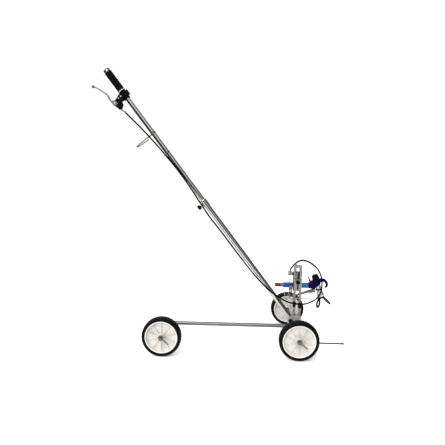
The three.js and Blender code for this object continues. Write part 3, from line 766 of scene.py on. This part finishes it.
def spindle(wheel_y):
    """The end of an axle: its shoulder, the spindle and a groove turned near the tip."""
    shoulder, end = wheel_y - HUB_HALF - GAP, wheel_y + HUB_HALF + 15
    return [
        (AXLE_RADIUS, shoulder, 0.5), (SPINDLE_RADIUS, shoulder, 0.2), (SPINDLE_RADIUS, end - 3, 0.2),
        (5.4, end - 2.6, 0.2), (5.4, end - 2, 0.2), (SPINDLE_RADIUS, end - 1.6, 0.2),
        (SPINDLE_RADIUS, end, 1), (0, end),
    ]


def chassis_hole(low, high):
    return lengthwise(CHASSIS_RADIUS + GAP, low, high, 0, CHASSIS_Z, sides=64)


def front_axle_block():
    rear, front = -22, 40
    axle = crosswise(AXLE_RADIUS + GAP, -30, 30, 0, WHEEL_RADIUS, sides=64)
    slit = box(rear - 1, front + 1, -23, -CHASSIS_RADIUS - 1, 77.4, 78.6)
    body = carve([box(rear, front, -22, 22, 57, 101)], [chassis_hole(-23, 41), axle, slit])
    show("front_axle_block", eased(body, 1.0), CART, "cast_metal")
    for i, spot in enumerate((rear + 10, front - 10)):
        cap_screw(f"front_axle_block_screw_{i}", CART @ at(spot, -16.5, 57) @ DOWN, "frame", 3, 2.5)


def rear_axle_block():
    """The block on the rear end of the chassis tube, with an eye on top for the axle's shank."""
    x, eye = -WHEELBASE, 7.6
    block = box(x - 12, x + 12, -24, 14, 57, 84)
    neck = box(x - eye, x + eye, -24, -5, 80, WHEEL_RADIUS)
    boss = crosswise(eye, -24, -5, x, WHEEL_RADIUS, sides=64)
    shank = crosswise(SHANK_RADIUS + GAP, -30, 0, x, WHEEL_RADIUS, sides=64)
    body = carve([block, neck, boss], [chassis_hole(x - 8, x + 20), shank])
    show("rear_axle_block", eased(body, 0.8), CART, "cast_metal")
    cap_screw("rear_axle_block_screw", CART @ at(x, -18, 57) @ DOWN, "frame", 3, 2.5)


def hand_knob(node, place, radius, height, collar, stud, lobes=8):
    """A moulded knob with lobes round its grip, on a steel stud. The grip is towards -Z."""

    def lobe(angle, z):
        inside = max(0.0, min(1.0, (-z - height * 0.16) / (height * 0.12)))
        return radius * 0.07 * (math.cos(lobes * angle) - 1) * inside

    profile = [
        (0, -height), (radius * 0.55, -height, 0.4), (radius * 0.6, -height * 0.94, 0.4),
        (radius * 0.86, -height * 0.95, 1.2), (radius, -height * 0.82, 1.2), (radius, -height * 0.28, 1.4),
        (collar + 1, -height * 0.14, 0.8), (collar, 0, 0.4), (0, 0),
    ]
    show(node, turned(profile, 0.4, lobes * 12, lobe), place, "black_plastic")
    thread = [(0, -1), *threaded(3, 0.2, stud), (0, stud)]
    show(f"{node}_stud", turned(thread, 0.2, 32), place, "bright_steel", body=BODY_OF[node])


def base_block():
    foot = at(*POLE_FOOT) @ turn("Y", -POLE_TILT)
    lug = moved(rod(16, -13, 8 - GAP, 1, 64), foot)
    spigot = moved(rod(11.3, 0, 60, 1), foot)
    block = box(-3, 39, -19, 19, 101 + GAP, 129)
    holes = [upright(POST_RADIUS + GAP, 100, 140, x, 0) for x in POST_X]
    holes += [crosswise(3 + GAP, -30, -9, -13, 108), box(-60, 60, -30, 30, 60, 101 + GAP)]
    body = cast(carve([block, lug, spigot], holes), 0.8, 5)
    show("base_block", body, CART, "cast_metal", "base_metal")
    for i, y in enumerate((-13, 13)):
        cap_screw(f"base_bolt_{i}", CART @ at(19, y, 129), "frame", 3.2, 3)
    for i, x in enumerate(POST_X):
        cap_screw(f"post_screw_{i}", CART @ at(x, -19, 117) @ TO_RIGHT, "frame", 3, 2)


def pointer():
    y, z = POINTER
    place = CART @ at(0, y, z) @ ALONG_X
    bar = [(0, -26), (3.2, -26), (3.2, 196, 0.3), (4, 197), (4, 203), (2.6, 206, 0.8), (0, 206)]
    show("pointer_rod", turned(bar, 0.6, 32), place, "chrome_tube", "dark_wire")
    block = box(-11, 11, y - 9, y + 9, z - 9, WHEEL_RADIUS + 12)
    holes = [
        lengthwise(3.5, -20, 20, y, z),
        crosswise(AXLE_RADIUS + GAP, y - 15, y + 15, 0, WHEEL_RADIUS, sides=64),
        box(-12, 12, y - 0.6, y + 0.6, z + 2, z + 14),
    ]
    show("pointer_clamp", eased(carve([block], holes), 0.9), CART, "cast_metal")
    cap_screw("pointer_clamp_screw", CART @ at(0, y - 9, 76.5) @ TO_RIGHT, "frame", 2.8, 2.6)
    cap_screw("pointer_axle_screw", CART @ at(0, y, 101), "frame", 3, 2.6)


def chassis():
    wheel("front_right", 0, -FRONT_WHEEL_Y, -16)
    wheel("front_left", 0, FRONT_WHEEL_Y, 8)
    wheel("rear", -WHEELBASE, REAR_WHEEL_Y, 17)
    tube = ring(7.4, CHASSIS_RADIUS, -617.5, 34, 0.4)
    # The chassis tube's chrome is painted darker: painted shade for the floor it reflects.
    show("chassis_tube", tube, CART @ at(0, 0, CHASSIS_Z) @ ALONG_X, "chrome_tube", "chrome_level")
    end = spindle(FRONT_WHEEL_Y)
    axle = turned([*[(r, -y, *e) for r, y, *e in reversed(end)], *end], 0.5, 48)
    show("front_axle", axle, CART @ at(0, 0, WHEEL_RADIUS) @ ALONG_Y, "bright_steel", "dull_steel")
    shank = [(0, 5), (SHANK_RADIUS, 5), (SHANK_RADIUS, 58), (AXLE_RADIUS, 62)]
    stub = turned([*shank, *spindle(-REAR_WHEEL_Y)], 0.5, 48)
    place = CART @ at(-WHEELBASE, 0, WHEEL_RADIUS) @ turn("Z", 180) @ ALONG_Y
    show("rear_axle", stub, place, "bright_steel", "dull_steel")
    front_axle_block()
    rear_axle_block()
    base_block()
    hand_knob("base_knob", CART @ at(-13, -22.6, 108) @ ALONG_Y, 9.5, 13, 5.2, 12)
    pointer()


# ---- Push pole and handle: drawn along the pole's axis, with what is below the pole towards -X ----
def pole():
    lower = ring(11.6, LOWER_POLE_RADIUS, 8, LOWER_POLE_END_S, 0.4, 96)
    upper = ring(9.6, UPPER_POLE_RADIUS, 640, UPPER_POLE_END_S, 0.4, 96)
    show("pole_lower", lower, POLE, "chrome_tube", "chrome_pole")
    show("pole_upper", upper, POLE, "chrome_tube", "chrome_pole")
    collar = turned([(0, 684), (14.7, 684), (14.7, 720, 1), (13.4, 723, 1), (0, 723)], 0.8, 96)
    boss = lengthwise(7, -25, 0, 0, KNOB_S, 0.8)
    holes = [
        rod(LOWER_POLE_RADIUS + GAP, 680, LOWER_POLE_END_S + GAP, 0, 96),
        rod(UPPER_POLE_RADIUS + GAP, 700, 730, 0, 96),
        lengthwise(3.3, -30, 0, 0, KNOB_S),
    ]
    show("pole_clamp", carve([collar, boss], holes), POLE, "chrome_tube", "chrome_pole")
    place = POLE @ at(-25 - GAP, 0, KNOB_S) @ ALONG_X
    hand_knob("pole_clamp_knob", place, 12, 18, 5, 11.4, 6)


def hose_hook():
    points = [
        (-10.5, 5, 1119), (-40, 5, 1119), (-70, 5, 1118.5), (-95, 6, 1118), (-102, 9, 1117.6),
        (-104, 14, 1117), (-101, 20, 1116), (-92, 23, 1115), (-70, 23, 1113.5), (-40, 23, 1112),
    ]
    wire = swept(points, circle(2.9, 20))
    collar = ring(9, 12.6, 1114, 1124, 0.6)
    bore = rod(UPPER_POLE_RADIUS + GAP, 1100, 1140, 0, 96)
    show("hose_hook", carve([collar, wire], [bore]), POLE, "chrome_tube", "wire")


def cable_clip():
    x, y = -15.6, -5.2
    low, high = CLIP_S - 5, CLIP_S + 5
    band = ring(10, 12, low, high, 0.3)
    loop = upright(5.3, low, high, x, y, 0.3)
    strip = box(-12.5, -8, -10, 0, low, high)
    holes = [upright(4.1, low - 3, high + 3, x, y), rod(11.4, low - 3, high + 3, 0, 96)]
    show("cable_clip", carve([band, loop, strip], holes), POLE, "bright_steel", "wire")


def grip():
    """A rubber grip: a flange at each end, and three bands of fine lengthwise ribs between rings."""
    bands = [(1374, 1401), (1404, 1432), (1435, 1462)]
    ribs = ridges(0.32, 40, *[(low + 0.8, high - 0.8) for low, high in bands])
    hole, end = UPPER_POLE_RADIUS + GAP, UPPER_POLE_END_S
    profile = [
        (hole, GRIP_START_S, 0.5), (17.3, GRIP_START_S, 0.8), (17.7, GRIP_START_S + 3, 1), (16.4, 1372, 0.6),
    ]
    for low, high in bands:
        profile += [
            (16.3, low, 0.3), (17, low + 1, 0.3), (17, low + 1.4, 0), (17, high - 1.4, 0),
            (17, high - 1, 0.3), (16.3, high, 0.3),
        ]
    profile += [(16.4, 1464, 0.6), (17.7, end - 3, 1), (17.3, end, 0.8), (hole, end, 0.5)]
    show("grip", turned(profile, 0.3, 240, ribs), POLE, "grip_rubber")
    collar = ring(UPPER_POLE_RADIUS + 0.1, 17.2, 1361.8, GRIP_START_S - 0.3, 0.6, 96)
    show("grip_collar", collar, POLE, "white_plastic", body="upper_handle")
    cap = [
        (0, 1470.3), (15.4, 1470.3, 0.3), (15.4, 1472, 0.3), (14.8, 1472.6, 0.3), (15.6, 1473.4, 0.4),
        (15.6, 1479.5, 1.2), (12.5, 1483.6, 1.5), (0, 1483.6),
    ]
    show("grip_end_cap", turned(cap, 0.4, 96), POLE, "chrome_tube", "chrome_pole")
    # A dark ring over the cap's rounded end: a painted dark reflection round its edge.
    rim = ring(13.2, 15.9, 1480, 1484, 1.2, 96)
    show("end_cap_rim", rim, POLE, "blackened_steel", body="upper_handle")


def lever_bracket():
    x, s = LEVER_PIVOT
    outline = [
        (-8, 1321, 0), (-30, 1324, 3), (-33, 1309, 3), (-50, 1299, 4), (-62, 1301, 4), (-67, 1322, 2),
        (-70.5, 1338, 5), (-66, 1347, 4), (-52, 1348, 2), (-38, 1352, 6), (-20, 1359, 6), (-8, 1361, 0),
    ]
    arm = plate(rounded(outline, 2), -8, 8)
    sleeve = rod(16, 1318, 1361.4, 1, 96)
    boss = box(8, 24, -8, 8, 1330, 1354)
    rib = box(-44, -14, -9.2, 9.2, 1327, 1331)
    cuts = [
        rod(UPPER_POLE_RADIUS + GAP, 1310, 1370, 0, 96),
        box(-90, -47, -4.5, 4.5, 1318, 1360),
        crosswise(2.8, -12, 12, x, s),
        box(12, 30, -0.9, 0.9, 1325, 1360),
    ]
    body = cast(carve([sleeve, boss, arm, rib], cuts), 0.7, 5)
    show("lever_bracket", body, POLE, "black_plastic")
    for i, spot in enumerate(((-19, -8, 1344.5), (-33, -8, 1344.4))):
        cap_screw(f"bracket_screw_{i}", POLE @ at(*spot) @ TO_RIGHT, "upper_handle", 3.4, 1.8)
    place = POLE @ at(18.5, -8, 1342) @ TO_RIGHT
    cap_screw("bracket_clamp_screw", place, "upper_handle", 3.2, 2.5, "blackened_steel")
    pin = turned([(0, -11.2), (4, -11.2), (4, -9.8, 0.2), (2.5, -9.8, 0), (2.5, 10), (0, 10)], 0.5, 40)
    slot = box(-5, 5, -0.5, 0.5, -12, -10.6)
    show("lever_pin", carve([pin], [slot]), POLE @ at(x, 0, s) @ ALONG_Y, "bright_steel")


def brake_lever():
    x, s = LEVER_PIVOT
    points = [
        (-62, 0, 1340), (-68, 0, 1352), (-70.5, 0, 1360), (-69.5, 0, 1372), (-67.6, 0, 1384),
        (-69, 0, 1396), (-75, 0, 1416), (-84, 0, 1438.5), (-92, 0, 1454.5), (-97.5, 0, 1461),
    ]
    blade = swept(points, strap(7.6, 6.4, 2), 2, girth=lambda share: 1.25 - 0.4 * share)
    root = crosswise(8, -4, 4, x, s, 0.6)
    heel = plate([(-66, 1333), (-52, 1324), (-50, 1331), (-60, 1345)], -4, 4)
    ball = moved(turned([(0, -6), (6.2, -6, 5.8), (6.2, 6, 5.8), (0, 6)], 5, 40), at(-98, 0, 1461.8))
    outline = rounded([(-72, 1331), (-60, 1323), (-50, 1327), (-50, 1338), (-61, 1355), (-72, 1355)], 4)
    cheeks = [plate(outline, y, y + 1.3) for y in (-9.6, 8.3)]
    bridge = box(-72, -63, -9, 9, 1350.5, 1355)
    hole = crosswise(2.8, -12, 12, x, s)
    body = cast(carve([root, heel, blade, ball, *cheeks, bridge], [hole]), 0.5, 4)
    show("brake_lever", body, POLE, "chrome_tube", "polished_lever")


def barrel_adjuster():
    along = Vector((ADJUSTER_FROM[0] - ADJUSTER_TO[0], ADJUSTER_FROM[1] - ADJUSTER_TO[1]))
    lean = math.degrees(math.atan2(along.x, along.y))
    place = POLE @ at(ADJUSTER_FROM[0], 0, ADJUSTER_FROM[1]) @ turn("Y", lean)
    low = -along.length
    knurl = ridges(0.22, 24, (low + 5.5, -7.5))
    profile = [
        (1.4, low), (3.6, low, 0.4), (3.6, low + 4.6, 0.2), (4.8, low + 5.2, 0.3), (4.8, -7.2, 0.3),
        *threaded(4, -6.6, 0, 1.1), (1.4, 0),
    ]
    show("barrel_adjuster", turned(profile, 0.2, 144, knurl), place, "chrome_tube", "bright_steel")
    nut = carve([rod(6.2, -4.6, -2.4, 0.2, 6)], [rod(4.15, -6, 0, 0, 48)])
    show("adjuster_lock_nut", eased(nut, 0.3), place, "bright_steel", body="upper_handle")
    ferrule = turned([(0, low - 7), (3.5, low - 7), (3.5, low - 0.4), (0, low - 0.4)], 0.6, 40)
    show("cable_ferrule_upper", ferrule, place, "bright_steel", body="upper_handle")


def handle():
    pole()
    hose_hook()
    cable_clip()
    grip()
    lever_bracket()
    brake_lever()
    barrel_adjuster()


# ---- Mast and gun carriage ----
def tie(name, x, post, y, z):
    """A cable tie at height z, round a post at x and the cable beside it at y."""
    reach = CABLE_RADIUS + 0.5
    round_post = [(post, 0), (0.7 * post, 0.7 * post), (0, post), (-0.7 * post, 0.7 * post), (-post, 0)]
    round_cable = [
        (-reach, -1), (-0.6 * reach, -0.8 * reach), (0, -reach), (0.6 * reach, -0.8 * reach), (reach, -1),
    ]
    points = [(x + a, b, z) for a, b in round_post] + [(x + a, y + b, z) for a, b in round_cable]
    loop = swept(points, strap(3.2, 1.1, 0.4), 0.8, (0, 0, 1), loop=True)
    show(name, loop, CART, "black_plastic", body="frame")


def mast():
    low, high = 367, 378
    holes = [upright(POST_RADIUS + GAP, low - 2, low + 6, x, 0) for x in POST_X]
    cap = carve([box(-0.5, 38.5, -8, 8, low, high)], holes)
    show("mast_cap", eased(cap, 1.2), CART, "cast_metal")
    cap_screw("mast_cap_bolt", CART @ at(11, 0, high), "frame", 3.4, 4)
    for i, x in enumerate(POST_X):
        cap_screw(f"mast_cap_screw_{i}", CART @ at(x, -8, 372) @ TO_RIGHT, "frame", 2.2, 1)
    sleeves = {"rear": (170, 196), "front": (164, 183)}
    for (name, (low, top)), x in zip(sleeves.items(), POST_X):
        post = rod(POST_RADIUS, 107, 372.7, 0.6, 64)
        show(f"post_{name}", post, CART @ at(x, 0, 0), "chrome_tube")
        sleeve = turned([(6.3, low), (7.4, low), (7.4, top, 0.8), (6.3, top)], 0.5, 64)
        show(f"post_sleeve_{name}", sleeve, CART @ at(x, 0, 0), "grip_rubber")
    tie("cable_tie_rear", POST_X[0], 8.6, -13, 190.5)
    tie("cable_tie_front", POST_X[1], 6.6, -12.5, 187.5)


def gun_carriage():
    x, y, z = CLAMP_KNOB
    _, gun_y, gun_z = GUN_ORIGIN
    back = box(-2, 40, 6.4, 12.4, 250, 346)
    tongue = box(12.6, 25.4, -5.4, 7, 262, 346)
    saddle = box(8, 30, 12, gun_y, gun_z - 17, gun_z + 17)
    bow = lengthwise(17, 8, 30, gun_y, gun_z, 1, 96)
    hole = lengthwise(HANDLE_RADIUS + GAP, 0, 40, gun_y, gun_z, sides=96)
    stud = crosswise(3.3, -20, 13, x, z)
    body = eased(carve([back, tongue, saddle, bow], [hole, stud]), 0.8)
    show("gun_carriage", body, CART, "blackened_steel")
    face = eased(box(12.2, 16.8, -6.1, -5.4, 311.5, 345.5), 0.25)
    show("tongue_face", face, CART, "cast_metal", body="carriage")
    front = box(0, 38, -12.3, -6.3, 253, 310)
    cuts = [box(15, 23, -14, -4, 258, 283), crosswise(3.3, -20, 0, x, z)]
    show("clamp_plate", eased(carve([front], cuts), 0.8), CART, "cast_metal")
    hand_knob("carriage_knob", CART @ at(x, y, z) @ ALONG_Y, 10, 13, 6, 24)
    for i, screw_z in enumerate((259, 304)):
        place = CART @ at(33.5, -12.3, screw_z) @ TO_RIGHT
        cap_screw(f"clamp_plate_screw_{i}", place, "carriage", 2.4, 1.6)


def cable_anchor():
    head = box(-24, -3, 22, 42, 322, 340)
    arm = box(-10, 6, 12.7, 24, 324, 338)
    ferrule = upright(4.6, 332.7, 350, YOKE_X, YOKE_Y)
    wire = upright(1.6, 315, 340, YOKE_X, YOKE_Y)
    show("cable_anchor", eased(carve([head, arm], [ferrule, wire]), 0.9), CART, "cast_metal")
    seat = turned([(1.5, 333), (4.2, 333), (4.2, 346), (3.4, 348), (1.5, 348)], 0.4, 40)
    show("cable_ferrule_lower", seat, CART @ at(YOKE_X, YOKE_Y, 0), "bright_steel", body="carriage")
    cap_screw("anchor_screw", CART @ at(-2, 12.7, 331) @ TO_RIGHT, "carriage", 3.8, 3.4, "blackened_steel")


def trigger_yoke():
    top, bottom, half = 299, 210, 17
    side = [
        (2, top), (half - 4, top), (half, top - 4), (half, (top + bottom) / 2), (half, bottom + 4),
        (half - 4, bottom),
    ]
    points = [(-y, z) for y, z in side] + side[::-1]
    bail = swept([(YOKE_X, YOKE_Y + y, z) for y, z in points], circle(1.5, 16), 1.2, (1, 0, 0))
    bead = eased(box(YOKE_X - 3, YOKE_X + 3, 27, 37, top - 3.5, top + 4), 0.7)
    wire = upright(0.9, top, 332, YOKE_X, YOKE_Y, 0.2, 24)
    show("trigger_yoke", carve([bail, bead, wire]), CART, "bright_steel")
    block = eased(box(-21, -3.6, 11.5, 18.5, 248, 272), 0.9)
    show("yoke_block", block, CART, "cast_metal", body="trigger_yoke")
    cap_screw("yoke_screw", CART @ at(-7.6, 11.5, 253) @ TO_RIGHT, "trigger_yoke", 3.3, 1.8, None, "brass")
    turns, pitch, corners = 10, 2.5, circle(2.9, 8)
    helix = [(*corners[i % 8], pitch * i / 8) for i in range(turns * 8 + 1)]
    spring = swept(helix, circle(0.9, 10), 1.2, (0, 0, 1))
    show("yoke_spring", spring, CART @ at(-8, 15, 222), "blackened_steel", body="trigger_yoke")
    for i, (low, high) in enumerate(((214, 244), (264, 284))):
        sleeve = ring(1.55, 2.5, low, high, 0.4, 32)
        place = CART @ at(YOKE_X, YOKE_Y - half, 0)
        show(f"yoke_sleeve_{i}", sleeve, place, "cable_jacket", body="trigger_yoke")


# ---- Spray gun ----
def hang_hook():
    """The hook over the gun's head, thickest at its root."""
    points = [
        (-2, 0, 21), (3, 0, 24.5), (10, 0, 27), (20, 0, 29), (30, 0, 27), (38.5, 0, 20), (44, 0, 9),
        (43, 0, -1), (38, 0, -7),
    ]
    return swept(points, strap(9.8, 13, 3), girth=lambda share: 1.7 - 0.92 * share ** 0.8)


def gun_head():
    tilted = turn("Y", -NOZZLE_TILT)
    barrel = moved(rod(16, -12, 41, 1.2, 96), tilted)
    neck = moved(rod(HANDLE_RADIUS, -46.7, 0, 0.8, 96), ALONG_X)
    outline = [
        (-30, -14, 0), (-12, -12, 4), (2, 4, 4), (12, 15, 5), (12, 29, 4), (4, 34, 4), (-12, 38, 5),
        (-24, 28, 6), (-38, 19, 6), (-46.7, 12, 0), (-46.7, -12, 0),
    ]
    web = plate(rounded(outline, 3), -12, 12)
    ridge = moved(ring(14, 17.2, 34, 41, 0.8, 96), tilted)
    seat = moved(rod(SEAT_RADIUS + GAP, -20, SEAT_TOP + GAP, 0, 96), tilted)
    slanted = moved(box(-30, 30, -20, 20, -40, 0), at(0, 0, 3), turn("Y", math.degrees(-0.77)))
    shell = carve([barrel, neck, web, ridge], [seat, slanted])
    lug = box(-25, -12, -4, 4, -33, -8)
    bore = moved(rod(3.2, -20, 45, 0), tilted)
    pin = crosswise(2.3, -12, 12, *TRIGGER_PIVOT)
    body = cast(carve([shell, lug, hang_hook()], [bore, pin]), 0.7, 7)
    show("gun_head", body, GUN, "navy_coat")
    cap_screw("gun_head_screw", GUN @ at(-24, -12.4, 6) @ TO_RIGHT, "carriage", 2.2, 0.8, "blackened_steel")


def gun_handle():
    ribs = ridges(0.25, 28, (-160, -62))
    profile = [
        (4, -171), (11.5, -171, 0.8), (13, -168, 0.8), (13, -163, 0.4), (12.3, -162, 0.4), (12.7, -160, 0.2),
        (12.7, -159.5, 0), (12.7, -62.5, 0), (12.7, -62, 0.2), (12.3, -60, 0.4), (13, -59, 0.4),
        (13, -50, 0.8), (12.4, -47, 0.6), (4, -47),
    ]
    show("gun_handle", turned(profile, 0.5, 168, ribs), GUN @ ALONG_X, "blue_plastic")
    sleeve = ring(13.05, 13.5, -91, -52, 0.2, 96)
    show("handle_sleeve", sleeve, GUN @ ALONG_X, "blue_plastic", "sky_plastic", "carriage")


def inlet():
    hexagon = eased(rod(10.6, -186, -176, 0, 6), 0.5)
    thread = threaded(9, -188.6, -186.5, 1)
    collar = [(0, -189), *thread, (9, -176, 0.2), (9, -171.3), (0, -171.3)]
    nut = carve([turned(collar, 0.5, 64), hexagon], [rod(5, -195, -165, 0)])
    show("swivel_nut", nut, GUN @ ALONG_X, "cast_metal")
    knurl = ridges(0.25, 30, (-208, -194))
    cap = [
        (0, -212), (8.6, -212, 0.8), (9.4, -210.5, 0.4), (9.2, -208.5, 0.3), (9.2, -208, 0), (9.2, -194, 0),
        (9.2, -193.5, 0.3), (9.6, -192.6, 0.4), (9.6, -189.3, 0.5), (6, -189.3), (6, -206), (0, -206),
    ]
    show("inlet_cap", turned(cap, 0.4, 180, knurl), GUN @ ALONG_X, "red_plastic")


def nozzle():
    knurl = ridges(0.6, 20, (43.3, 51))
    cap = [
        (0, 41.3), (16.2, 41.3, 0.6), (16.8, 43.2, 0.4), (16.6, 43.5, 0), (16.6, 49.5, 0), (16.2, 51.5, 2),
        (14.2, 56.5, 3), (8.5, 58.8, 2), (0, 58.8),
    ]
    show("rear_cap", turned(cap, 0.5, 160, knurl), NOZZLE, "black_plastic")
    needle = turned([(0, -26), (1, -24), (2, -20), (2, 37.5), (0, 37.5)], 0.2, 32)
    show("needle", needle, NOZZLE, "bright_steel")
    body = [
        (3.2, -56.5), (14.5, -56.5, 0.5), (16, -53, 0.3), (15.4, -52.2, 0.3), (18, -49, 0.8),
        (17.4, -44, 0.8), (14, -28.5, 0.8), (13, -27.5, 0.3), (13, -24.5, 0.3), (SEAT_RADIUS, -23.5, 0.3),
        (SEAT_RADIUS, -8, 0.3), (12.8, -7.4, 0.2), (12.8, -6, 0.2), (SEAT_RADIUS, -5.4, 0.3),
        (SEAT_RADIUS, SEAT_TOP), (3.2, SEAT_TOP),
    ]
    show("diffuser", turned(body, 0.4, 96), NOZZLE, "cast_metal", "silver")
    seal = ring(13.1, 15.6, -21.5, -15, 1, 96)
    show("diffuser_seal", seal, NOZZLE, "black_plastic", body="carriage")
    tip = turned([
        (1.2, -69), (4.5, -69, 0.4), (5, -66.5, 0.4), (7.4, -66, 0.5), (7.4, -57, 0.4), (1.2, -57),
    ], 0.3, 48)
    show("spray_tip", tip, NOZZLE @ turn("Z", GUARD_TURN), "bright_steel")


def guard_wing(wing, spin):
    length, half = wing["length"], wing["half"]
    low, high = wing["window"]
    side = [(8, 0, 1), (9.5, 14, 4), (half, 26, 5), (half, length - 14, 6), (5, length, 4)]
    opening = [(2, low, 1.5), (half - 8.5, low + 5, 3), (half - 8.5, high - 5, 3), (2, high, 1.5)]
    outline, window = [
        rounded([*points, *[(-x, y, r) for x, y, r in reversed(points)]]) for points in (side, opening)
    ]
    body = carve([plate(outline, -2.8, 2.8)], [plate(window, -5, 5)])
    stand = turn("Z", 90) @ DOWN
    return moved(body, turn("Z", spin), at(9.5, 0, -60), turn("Y", -wing["flare"]), stand)


def tip_guard():
    base = ring(7.7, 15, -66, -56.8, 0.8, 96)
    bore = rod(7.7, -69.5, -50, 0, 64)
    wings = [guard_wing(FRONT_WING, 0), guard_wing(REAR_WING, 180)]
    body = cast(carve([base, *wings], [bore]), 0.6, 4)
    show("tip_guard", body, NOZZLE @ turn("Z", GUARD_TURN), "black_plastic")


def trigger():
    x, z = TRIGGER_PIVOT
    outline = [
        (x + 6, z + 1, 2), (x + 2, z + 5.6, 2), (x - 5, z + 4, 2), (-45, -24, 5), (-78, -37.5, 8),
        (-108, -48.5, 8), (-139, -53, 3), (-149, -49, 1), (-151, -53, 1), (-140, -58.2, 3), (-107, -54, 8),
        (-76, -44.5, 8), (-50, -36.5, 5), (-30, -36, 3), (-21, -32.5, 3), (x, z - 6.5, 2),
        (x + 5, z - 3.5, 2),
    ]
    body = plate(rounded(outline, 2), -8, 8)
    fork = box(x - 14, x + 10, -4.5, 4.5, z - 18, z + 12)
    hole = crosswise(2.3, -12, 12, x, z)
    show("trigger", cast(carve([body], [fork, hole]), 0.6, 5), GUN, "cast_metal")
    pin = turned([(0, -9.5), (3.1, -9.5), (3.1, -8.4, 0.2), (2, -8.3, 0), (2, 9.5), (0, 9.5)], 0.3, 40)
    show("trigger_pin", pin, GUN @ at(x, 0, z) @ ALONG_Y, "bright_steel")
    guard = [
        (-167, 0, -14.6), (-164.5, 0, -30), (-162, 0, -50), (-158, 0, -62), (-148, 0, -67), (-90, 0, -67.5),
        (-30, 0, -67), (-19, 0, -64.5), (-15.4, 0, -56), (-15, 0, -34.5),
    ]
    show("trigger_guard", swept(guard, strap(9, 2.4, 0.9)), GUN, "chrome_tube", "silver")
    boss = crosswise(4, -5, 5, 0, 0, 0.8)
    stick = turned([(0, 0), (3.4, 0), (3, 12, 4), (3.2, 21.5, 1.5), (0, 21.5)], 1, 40)
    lock = cast(carve([boss, moved(stick, turn("Y", math.degrees(-0.4)))]), 0.4, 4)
    show("trigger_lock", lock, GUN @ at(-40, 0, 23.5), "navy_coat")


camera()
cable()
studio()
window()
floor()
chassis()
handle()
mast()
gun_carriage()
cable_anchor()
trigger_yoke()
gun_head()
gun_handle()
inlet()
nozzle()
tip_guard()
trigger()
